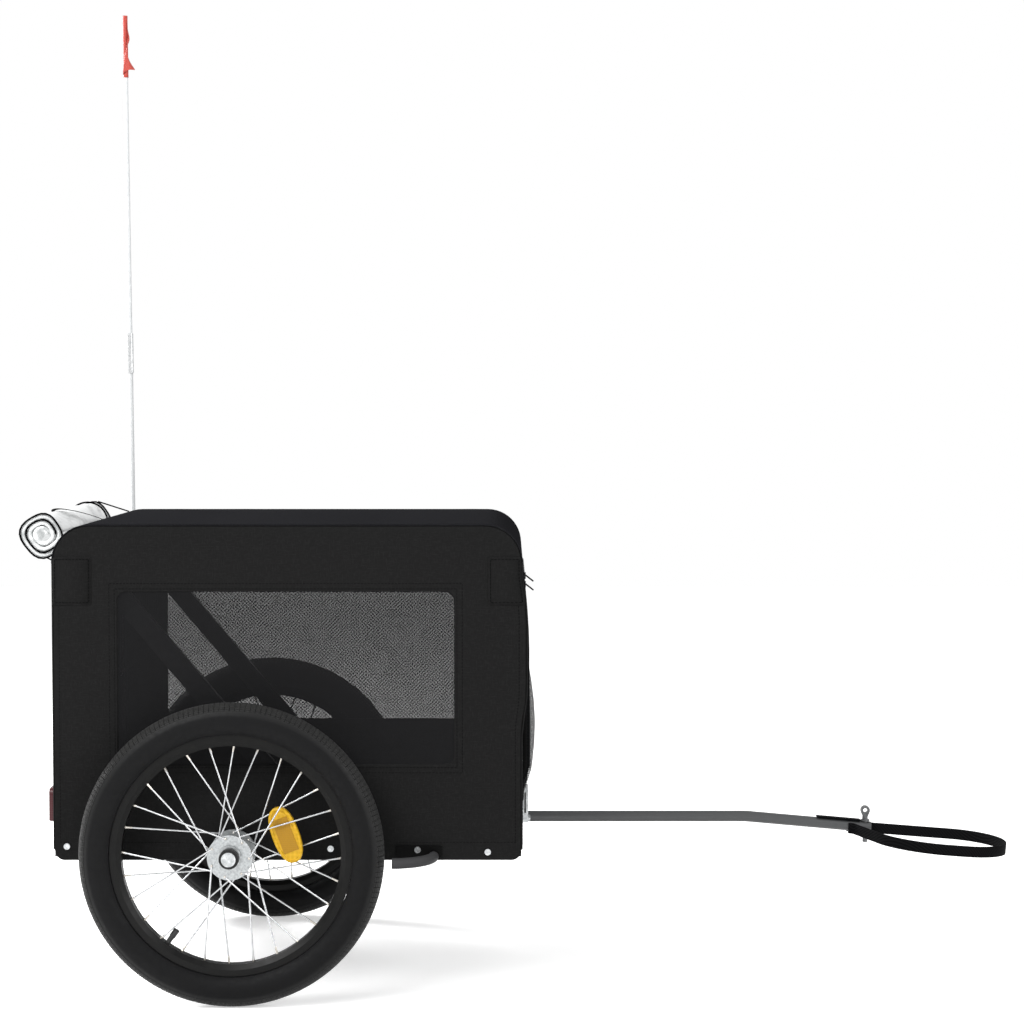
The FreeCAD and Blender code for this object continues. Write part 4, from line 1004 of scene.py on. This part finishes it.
class TrailerZips(bpy.types.Operator):
    """Make the zips round the upper edges of both doors"""
    bl_idname = "trailer.zips"
    bl_label = "Zips"

    def execute(self, context):
        # Moulded zip teeth: small glossy black blocks.
        acetal = mottled("moulded_acetal", "101011", "1b1b1c", 0.002, 0.0001, (0.25, 0.4))
        pitch, tooth, tooth_out = 0.003, (0.0017, 0.0046, 0.0016), 0.0005
        gap, foot_gap, turn = 0.005, 0.045, 0.035
        cut = turn * 0.29
        slider, tab, tab_out, edge_r = (0.0026, 0.005, 0.009), (0.002, 0.005, 0.014), 0.001, 0.0005
        # Each door's outward way along X, and in degrees where its sliders sit on the rounded corner
        # and how far their tabs stand off.
        for side, low, high, out, angles, tilt in (
                ("front", front_door_low, front_door_high, 1, (40, 72), 52),
                ("rear", rear_door_low, rear_door_high, -1, (2, 34), 16)):
            body = side + "_door"
            left, right, foot, top = low.y + gap, high.y - gap, low.z + foot_gap, high.z - gap
            line = [(left, foot), (left, top - turn), (left + cut, top - cut), (left + turn, top),
                    (right - turn, top), (right - cut, top - cut), (right, top - turn), (right, foot)]
            bm = bmesh.new()
            blocks_along(bm, line, pitch, tooth, tooth_out)
            bm.transform(standing(side, high.x if side == "front" else -low.x))
            piece(side + "_zip_teeth", bm, body, [acetal], folds=True, smooth=False)

            # Two sliders stand at the upper right corner, and their tabs hang outwards.
            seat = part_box(side + "_zip_pulls")[0 if side == "front" else 1].x + out * slider[0] / 2
            bm = bmesh.new()
            for angle in (math.radians(angle) for angle in angles):
                spot = Matrix.Translation((seat, low.y + gap + turn - turn * math.cos(angle),
                                           high.z - gap - turn + turn * math.sin(angle)))
                block(bm, spot, slider)
                hang = spot @ Matrix.Rotation(-out * math.radians(tilt), 4, "Y")
                block(bm, hang @ Matrix.Translation((out * tab_out, 0, -tab[2] / 2)), tab)
            round_off(bm, bm.edges[:], edge_r, segments=2)
            piece(side + "_zip_sliders", bm, body, [oxide_finish()], [side + "_zip_pulls"],
                  folds=True)
        return {"FINISHED"}


class TrailerRainCover(bpy.types.Operator):
    """Make the rolled rain cover and the cords that tie it"""
    bl_idname = "trailer.rain_cover"
    bl_label = "Rain Cover"

    def execute(self, context):
        trims = context.scene.trailer_trims
        film = creased_film("creased_pvc_film", trims.white, trims.crease_shade)
        inner = creased_film("rolled_pvc_film", "c4c6c6", trims.crease_shade)
        turns, tape_turns, pitch, outer, core_r, cell = 3, 2, 0.0072, 0.0262, 0.0092, 0.016
        shift_x, shift_z, edge_gap = 0.0056, 0.002, 0.0002
        middle = (tie_low + tie_high) / 2 + Vector((shift_x, 0, shift_z))
        middle.y = 0
        edge = trims.film_edge + edge_gap
        bm = bmesh.new()
        self.wind(bm, middle, outer, pitch, turns, roll_low.y + edge, roll_high.y - edge)
        slice_up(bm, 1, roll_low.y, roll_high.y, cell)
        self.settle(bm, middle, outer, trims.crease, trims.film / 2)
        roll = piece("rain_cover_film", bm, "top_frame", [film], ["rain_cover_roll"],
                     trims.film, 0)
        # Black tape on both edges of the film shows between its outer turns.
        bm = bmesh.new()
        for y in (roll_low.y, roll_high.y - trims.film_edge):
            self.wind(bm, middle, outer + pitch / 2, pitch, tape_turns, y, y + trims.film_edge)
        self.settle(bm, middle, outer, trims.crease, trims.film_tape / 2)
        tape = piece("rain_cover_tape", bm, "top_frame", [tape_finish()], (), trims.film_tape, 0)
        bm = bmesh.new()
        place = Matrix.Translation((middle.x, (roll_low.y + roll_high.y) / 2, middle.z))
        bmesh.ops.create_cone(bm, cap_ends=True, segments=24, radius1=core_r, radius2=core_r,
                              depth=roll_high.y - roll_low.y - 2 * edge,
                              matrix=place @ Matrix.Rotation(math.pi / 2, 4, "X"))
        core = piece("rain_cover_core", bm, "top_frame", [inner])

        # Thin cords tie the roll: one lies far askew round it, and one at each end runs to the cabin.
        tie_r, cord_r, clear, margin = 0.0013, 0.001, 0.001, 0.02
        tie_end = tie_high.y - clear
        bm = bmesh.new()
        for y, askew in ((0.158, -8.0), (tie_end, 0.3)):
            row = bmesh.new()
            bmesh.ops.create_circle(row, segments=8, radius=tie_r)
            row.transform(Matrix.Translation(((tie_high.z - tie_low.z) / 2 - clear, 0, 0)))
            turn_round(row, steps=40)
            for vert in row.verts:
                vert.co.y += min(tie_end, max(roll_low.y + margin, y + vert.co.z * askew))
            row.transform(Matrix.Translation(middle))
            join(bm, row)
        # The ends of the two short cords, from the roll's middle
        for start, end in (((0.0072, 0.2, 0.0284), (0.0532, 0.2, 0.0136)),
                           ((0.0012, -0.185, -0.0305), (0.0122, -0.185, -0.0359))):
            rod(bm, middle + Vector(start), middle + Vector(end), cord_r, cord_r)
        piece("roll_cords", bm, "top_frame", [tape_finish()], ["roll_ties"])
        return {"FINISHED"}

    @staticmethod
    def wind(bm, middle, outer, pitch, turns, start, end):
        """Wind a sheet up in half turns that widen by half the pitch each."""
        r = outer - pitch * (turns - 0.5)
        ends = [bm.verts.new((middle.x - pitch / 2 + r, y, middle.z)) for y in (start, end)]
        last = [*ends, bm.edges.new(ends)]
        for half in range(turns * 2):
            centre = middle - Vector((pitch / 2, 0, 0)) * (half % 2 == 0)
            last = bmesh.ops.spin(bm, geom=last, cent=centre, axis=(0, -1, 0), angle=math.pi,
                                  steps=14)["geom_last"]

    @staticmethod
    def settle(bm, middle, outer, depth, half):
        """Let the roll sink to a rounded square against the cabin's corner, and crease it."""
        roof_r, clear = 0.05, 0.0008
        bluntness, tilt, shrink = 2.9, math.radians(37), 0.02
        crease_width, crease_length, end_fade, end_share, least_r = 0.03, 0.05, 0.03, 0.25, 0.008
        corner = Vector((roof_low.x + roof_r, roof_high.z - roof_r))
        stop = roof_r + clear + half
        for vert in bm.verts:
            away = vert.co - middle
            angle = math.atan2(away.z, away.x) - tilt
            square = blunt(angle, bluntness)
            r = math.hypot(away.x, away.z)
            ends = min(1, (vert.co.y - roll_low.y) / end_fade, (roll_high.y - vert.co.y) / end_fade)
            crease = noise.noise(Vector((vert.co.x / crease_width, vert.co.y / crease_length,
                                         vert.co.z / crease_width)))
            scale = 1 + (square - 1) * min(1, r / outer) - shrink
            scale += crease * depth / max(r, least_r) * (end_share + (1 - end_share) * ends)
            vert.co.x = middle.x + away.x * scale
            vert.co.z = middle.z + away.z * scale
            away = vert.co.xz - corner
            if away.length < stop:
                vert.co.xz = corner + away.normalized() * stop
        outward(bm)


class TrailerFlag(bpy.types.Operator):
    """Make the limp signal flag"""
    bl_idname = "trailer.flag"
    bl_label = "Flag"

    def execute(self, context):
        nylon = flag_nylon("flag_nylon", context.scene.trailer_trims.flag)
        height = flag_high.z - flag_low.z
        pole_r, sleeve_r, width, wall = 0.003, 0.0035, 0.075, 0.0004
        lean = (pole_high.x - pole_low.x - 2 * pole_r) / (pole_high.z - pole_low.z)
        axis_x = pole_low.x + pole_r
        axis_y = (pole_low.y + pole_high.y) / 2
        bm = bmesh.new()
        bmesh.ops.create_grid(bm, x_segments=36, y_segments=40, size=0.5)
        lay_threads(bm, lambda spot: (spot.x * width, spot.y * height))
        # A pennant: its sleeve is wound round the pole, and its point droops in front of it.
        # The shares are of its width and height, and the depths are in metres.
        wrap, tip, tip_height, bend = 0.28, 0.118, 0.05, 0.45
        wound, start, half_turn = 1.9 * math.pi, 0.45 * math.pi, 0.9 * math.pi
        belly, tuck, arch_width = 0.006, 0.16, 0.5
        puff, puff_at, puff_height = 0.0032, 0.62, 0.13
        droop, droop_top, droop_fade = 0.0102, 0.38, 0.25
        hollow, hollow_top, hollow_fade = 0.0115, 0.6, 0.5
        for vert in bm.verts:
            u, v = vert.co.x + 0.5, vert.co.y + 0.5
            if u < wrap:
                turn = (u / wrap) * wound - start
                x, y = -math.sin(turn) * sleeve_r, math.cos(turn) * sleeve_r
            else:
                out = (u - wrap) / (1 - wrap)
                foot = tip * min(1, out / bend)
                v = foot + v * (1 - foot - out * (1 - tip - tip_height))
                y = -tuck * sleeve_r - belly * math.sin(half_turn * out)
                arch = math.sin(math.pi * min(1, out / arch_width))
                x = sleeve_r + puff * math.exp(-((v - puff_at) / puff_height) ** 2) * arch
                x += droop * max(0, min(1, (droop_top - v) / droop_fade)) ** 1.5 * out ** 1.2
                x -= hollow * max(0, min(1, (hollow_top - v) / hollow_fade)) * arch * (1 - out)
            vert.co = Vector((axis_x + x, axis_y + y, flag_low.z + v * height))
            vert.co.x += lean * (1 - v) * height
        outward(bm)
        sheet = piece("signal_flag", bm, "flag_pole", [nylon], ["flag"], wall, 0)
        return {"FINISHED"}


class TrailerStrap(bpy.types.Operator):
    """Make the safety strap's loop and its tail on the tow bar"""
    bl_idname = "trailer.strap"
    bl_label = "Safety Strap"

    def execute(self, context):
        trims = context.scene.trailer_trims
        hitch_x = (pin_low.x + pin_high.x) / 2
        # The bar's front end slopes down to its nose.
        slope, bar_r, nose_gap = 0.0158 / 0.178, 0.00775, 0.0007
        hitch_z = bar_low.z + bar_r * math.cos(math.atan(slope)) + slope * (bar_high.x - hitch_x - nose_gap)
        half, drop, tilt, clear, cell = 0.0075, 0.0024, math.radians(4.2), 0.0003, 0.006
        near_point = 1e-5
        height = hitch_z - drop
        side = bar_r + trims.strap / 2 + clear
        back, near, far, front = hitch_x - 0.025, -0.134, 0.006, hitch_x + 0.1855
        points = [(back, -side), (hitch_x - 0.0183, -side), (hitch_x + 0.032, near), (front, near),
                  (front, far), (hitch_x + 0.1, far), (hitch_x, side), (back, side)]
        bends = [0.008, 0.09, 0.066, 0.066, 0.09, 0.09]
        bm = bmesh.new()
        line = [bm.verts.new((x, y, height - half)) for x, y in points]
        edges = [bm.edges.new(pair) for pair in zip(line, line[1:])]
        push(bm, bmesh.ops.extrude_edge_only(bm, edges=edges), up * 2 * half)
        for i, r in enumerate(bends):
            corner = Vector(points[i + 1])
            behind = (Vector(points[i]) - corner).normalized()
            ahead = (Vector(points[i + 2]) - corner).normalized()
            trim = r / math.tan(behind.angle(ahead) / 2)
            upright = [edge for edge in bm.edges
                       if all((vert.co.xy - corner).length < near_point for vert in edge.verts)]
            round_off(bm, upright, trim, segments=10, clamp_overlap=False)
        slice_up(bm, 2, height - half, height + half, cell)
        bmesh.ops.remove_doubles(bm, verts=bm.verts[:], dist=near_point)
        lay_threads(bm, lambda spot: (spot.x + spot.y, spot.z))
        outward(bm)
        bmesh.ops.rotate(bm, verts=bm.verts[:], cent=(hitch_x, 0, height),
                         matrix=Matrix.Rotation(tilt, 3, "Y"))
        loop_piece = piece("safety_strap_loop", bm, "tow_bar", [tape_finish()], ["safety_strap"],
                           trims.strap, 0)

        tail_size, tail_x, tail_out = (0.062, 0.014, 1), -0.039, 0.0011
        bm = bmesh.new()
        bmesh.ops.create_grid(bm, x_segments=12, y_segments=4, size=0.5)
        lay_threads(bm)
        bmesh.ops.scale(bm, vec=tail_size, verts=bm.verts[:])
        bm.transform(Matrix.Translation((hitch_x, 0, hitch_z)) @ Matrix.Rotation(math.atan(slope), 4, "Y")
                     @ Matrix.Translation((tail_x, 0, bar_r + tail_out)))
        tail = piece("safety_strap_tail", bm, "tow_bar", [tape_finish()], (), trims.strap, 0)
        return {"FINISHED"}


class TrailerBracketPad(bpy.types.Operator):
    """Make the rubber pad in the slot of the tow bracket"""
    bl_idname = "trailer.bracket_pad"
    bl_label = "Bracket Pad"

    def execute(self, context):
        low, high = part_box("tow_bracket")
        plate, head, gap, edge = 0.003, 0.006, 0.0003, 0.001
        low = Vector((low.x + plate + gap, low.y + edge, bar_high.z + gap))
        high = Vector((high.x - plate - gap, high.y - edge, high.z - head - gap))
        bm = bmesh.new()
        block(bm, Matrix.Translation((low + high) / 2), high - low)
        piece("bracket_pad", bm, "base", [rubber_finish()])
        return {"FINISHED"}


class TrailerReflectors(bpy.types.Operator):
    """Make the wheel reflectors and the rear reflectors"""
    bl_idname = "trailer.reflectors"
    bl_label = "Reflectors"

    def execute(self, context):
        wheels = context.scene.trailer_wheels
        border = moulded_prisms("amber_acrylic", wheels.amber, 0.006, 0.12)
        lens = moulded_prisms("amber_prisms", wheels.amber_lens, 0.0026, 0.1)
        red = moulded_prisms("red_acrylic", wheels.red, 0.003, 0.2)
        # A full oval, blunter than an ellipse, with a block of prisms in a shallow tray
        r, reach, bluntness, lean = 0.0175, 0.038, 2.4, math.radians(20.6)
        edge_r, rim, step, tray, prisms = 0.0016, 0.002, 0.0006, 0.0012, (0.02, 0.046, 0.001)
        prisms_down = 0.0007
        for side, sign in sides:
            low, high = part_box(side + "_wheel_reflector")
            centre = (low + high) / 2
            depth = high.y - low.y
            bm = bmesh.new()
            bmesh.ops.create_circle(bm, cap_ends=True, segments=48, radius=r)
            for vert in bm.verts:
                full = blunt(math.atan2(vert.co.y, vert.co.x), bluntness)
                vert.co.x *= full
                vert.co.y *= full * reach / r
            push(bm, bmesh.ops.extrude_face_region(bm, geom=bm.faces[:]), up * depth)
            outward(bm)
            round_off(bm, [edge for edge in bm.edges if self.level(edge)], edge_r, segments=3)
            face = self.top_face(bm)
            for width, down in ((rim, 0), (step, tray)):
                bmesh.ops.inset_region(bm, faces=[face], thickness=width, depth=-down, use_even_offset=True)
            for vert in block(bm, Matrix.Translation((0, 0, depth - prisms_down)), prisms):
                for part in vert.link_faces:
                    part.material_index = 1
            bm.transform(standing(side, -low.y if sign > 0 else high.y)
                         @ Matrix.Translation((centre.x * sign, centre.z, -depth))
                         @ Matrix.Rotation(sign * lean, 4, "Z"))
            piece(side + "_amber_reflector", bm, side + "_wheel", [border, lens],
                  [side + "_wheel_reflector"])

        low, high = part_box("rear_reflectors")
        width, foot_r, top_r, rim, dent, edge_r = 0.028, 0.003, 0.009, 0.0025, 0.0001, 0.002
        front_z, sharp = 0.004, 0.8
        bm = bmesh.new()
        for y in (low.y, high.y - width):
            row = bmesh.new()
            ring(row, (Vector((-y - width, low.z)), Vector((-y, high.z))), foot_r, top_r)
            push(row, bmesh.ops.extrude_face_region(row, geom=row.faces[:]), up * (high.x - low.x))
            outward(row)
            bmesh.ops.inset_region(row, faces=[self.top_face(row)], thickness=rim, depth=-dent,
                                   use_even_offset=True)
            edges = [edge for edge in row.edges if self.level(edge) and edge.verts[0].co.z > front_z
                     and edge.calc_face_angle(0) > sharp]
            round_off(row, edges, edge_r, segments=3)
            row.transform(standing("rear", -high.x))
            join(bm, row)
        piece("rear_red_reflectors", bm, "base", [red], ["rear_reflectors"])
        return {"FINISHED"}

    @staticmethod
    def level(edge):
        """Whether an edge lies flat, at one height."""
        return abs(edge.verts[0].co.z - edge.verts[1].co.z) < same_point

    @staticmethod
    def top_face(bm):
        """The largest of the highest faces."""
        return max(bm.faces, key=lambda part: part.calc_center_median().z * 100 + part.calc_area())


class TrailerStageSet(bpy.types.Operator):
    """Set up the floor, the lights and the camera"""
    bl_idname = "trailer.stage"
    bl_label = "Stage"

    def execute(self, context):
        scene = context.scene
        stage = scene.trailer_stage
        scene.view_settings.view_transform = "Standard"

        # The photograph's camera, worked out from both wheels' ellipses
        focal, picture_width = 2434.2, 1024
        along, out, height, tilt, pan = 0.3626, -3.4403, 0.7893, 2.552, -0.074
        lens = bpy.data.cameras.new("camera")
        lens.lens = focal / picture_width * lens.sensor_width
        lens.clip_end = 100
        camera = bpy.data.objects.new("camera", lens)
        camera.location = (axle_x + along, out, height)
        camera.rotation_euler = (math.radians(90 - tilt), 0, math.radians(pan))
        scene.collection.objects.link(camera)
        scene.camera = camera

        bm = bmesh.new()
        bmesh.ops.create_grid(bm, x_segments=1, y_segments=1, size=stage.floor / 2)
        mesh = bpy.data.meshes.new("floor")
        bm.to_mesh(mesh)
        bm.free()
        floor = bpy.data.objects.new("floor", mesh)
        scene.collection.objects.link(floor)
        # Matt studio paper: what the lights leave short of white is made up for the camera alone.
        grain, glow = 0.02, 0.45
        paper, tree, shader = surface("studio_paper", stage.pale, {
            "Roughness": 0.9, "Specular IOR Level": 0.1, "Emission Color": (1, 1, 1, 1)})
        emboss(tree, shader, cloud(tree, where(tree), grain, Detail=3.0), 0.05, 0.0005)
        lift = add(tree, "Math", {1: glow}, {0: self.seen_rays(tree)}, operation="MULTIPLY")
        tree.links.new(lift.outputs[0], shader.inputs["Emission Strength"])
        mesh.materials.append(paper)

        world = bpy.data.worlds.new("studio")
        world.use_nodes = True
        scene.world = world
        tree = world.node_tree
        sky = tree.nodes["Background"]
        sky.inputs["Color"].default_value = (1, 1, 1, 1)
        strength = spread(tree, self.seen_rays(tree), least=stage.sky, most=1.0)
        tree.links.new(strength, sky.inputs["Strength"])

        aim = Vector((-0.3, 0, 0.35))
        for name, place, size, watts in (
                ("key", (-2.2, -2.6, 3.0), 2.2, stage.key), ("fill", (2.8, -2.4, 1.8), 2.0, stage.fill),
                ("back", (-2.6, 1.7, 1.9), 1.2, stage.back)):
            light = bpy.data.lights.new(name, "AREA")
            light.size = size
            light.energy = watts
            lamp = bpy.data.objects.new(name, light)
            lamp.location = place
            lamp.rotation_euler = (Vector(place) - aim).to_track_quat("Z", "Y").to_euler()
            scene.collection.objects.link(lamp)
        return {"FINISHED"}

    @staticmethod
    def seen_rays(tree):
        """One for the rays that show the background: seen, mirrored by the object or let through it."""
        path = add(tree, "LightPath").outputs
        near = maths(tree, "MAXIMUM", path["Is Camera Ray"], path["Is Glossy Ray"])
        return maths(tree, "MAXIMUM", near, path["Is Transmission Ray"])


class TrailerPanel(bpy.types.Panel):
    """Lists the trailer's operators and settings"""
    bl_idname = "VIEW3D_PT_trailer"
    bl_label = "Dog Bike Trailer"
    bl_space_type = "VIEW_3D"
    bl_region_type = "UI"
    bl_category = "Trailer"

    def draw(self, context):
        for operator in operators:
            self.layout.operator(operator.bl_idname)
        for name in groups:
            settings = getattr(context.scene, name)
            box = self.layout.box()
            for key in settings.__annotations__:
                box.prop(settings, key)


groups = {
    "trailer_cloth": TrailerCloth,
    "trailer_wheels": TrailerWheels,
    "trailer_trims": TrailerTrims,
    "trailer_stage": TrailerStage,
}
operators = (
    TrailerStageSet, TrailerMetalwork, TrailerTyres, TrailerSpokeFittings, TrailerSideCloth,
    TrailerEndCloth, TrailerRoofCloth, TrailerFrontDoor, TrailerRearDoor, TrailerZips, TrailerRainCover,
    TrailerFlag, TrailerStrap, TrailerBracketPad, TrailerReflectors,
)


def register():
    for name, group in groups.items():
        bpy.utils.register_class(group)
        setattr(bpy.types.Scene, name, bpy.props.PointerProperty(type=group))
    for kind in (*operators, TrailerPanel):
        bpy.utils.register_class(kind)


def unregister():
    for kind in (TrailerPanel, *reversed(operators)):
        bpy.utils.unregister_class(kind)
    for name, group in groups.items():
        delattr(bpy.types.Scene, name)
        bpy.utils.unregister_class(group)


def main():
    register()
    bpy.ops.trailer.stage()
    bpy.ops.trailer.metalwork()
    bpy.ops.trailer.tyres()
    bpy.ops.trailer.spoke_fittings()
    bpy.ops.trailer.side_cloth()
    bpy.ops.trailer.end_cloth()
    bpy.ops.trailer.roof_cloth()
    bpy.ops.trailer.front_door()
    bpy.ops.trailer.rear_door()
    bpy.ops.trailer.zips()
    bpy.ops.trailer.rain_cover()
    bpy.ops.trailer.flag()
    bpy.ops.trailer.strap()
    bpy.ops.trailer.bracket_pad()
    bpy.ops.trailer.reflectors()


if __name__ == "__main__":
    main()
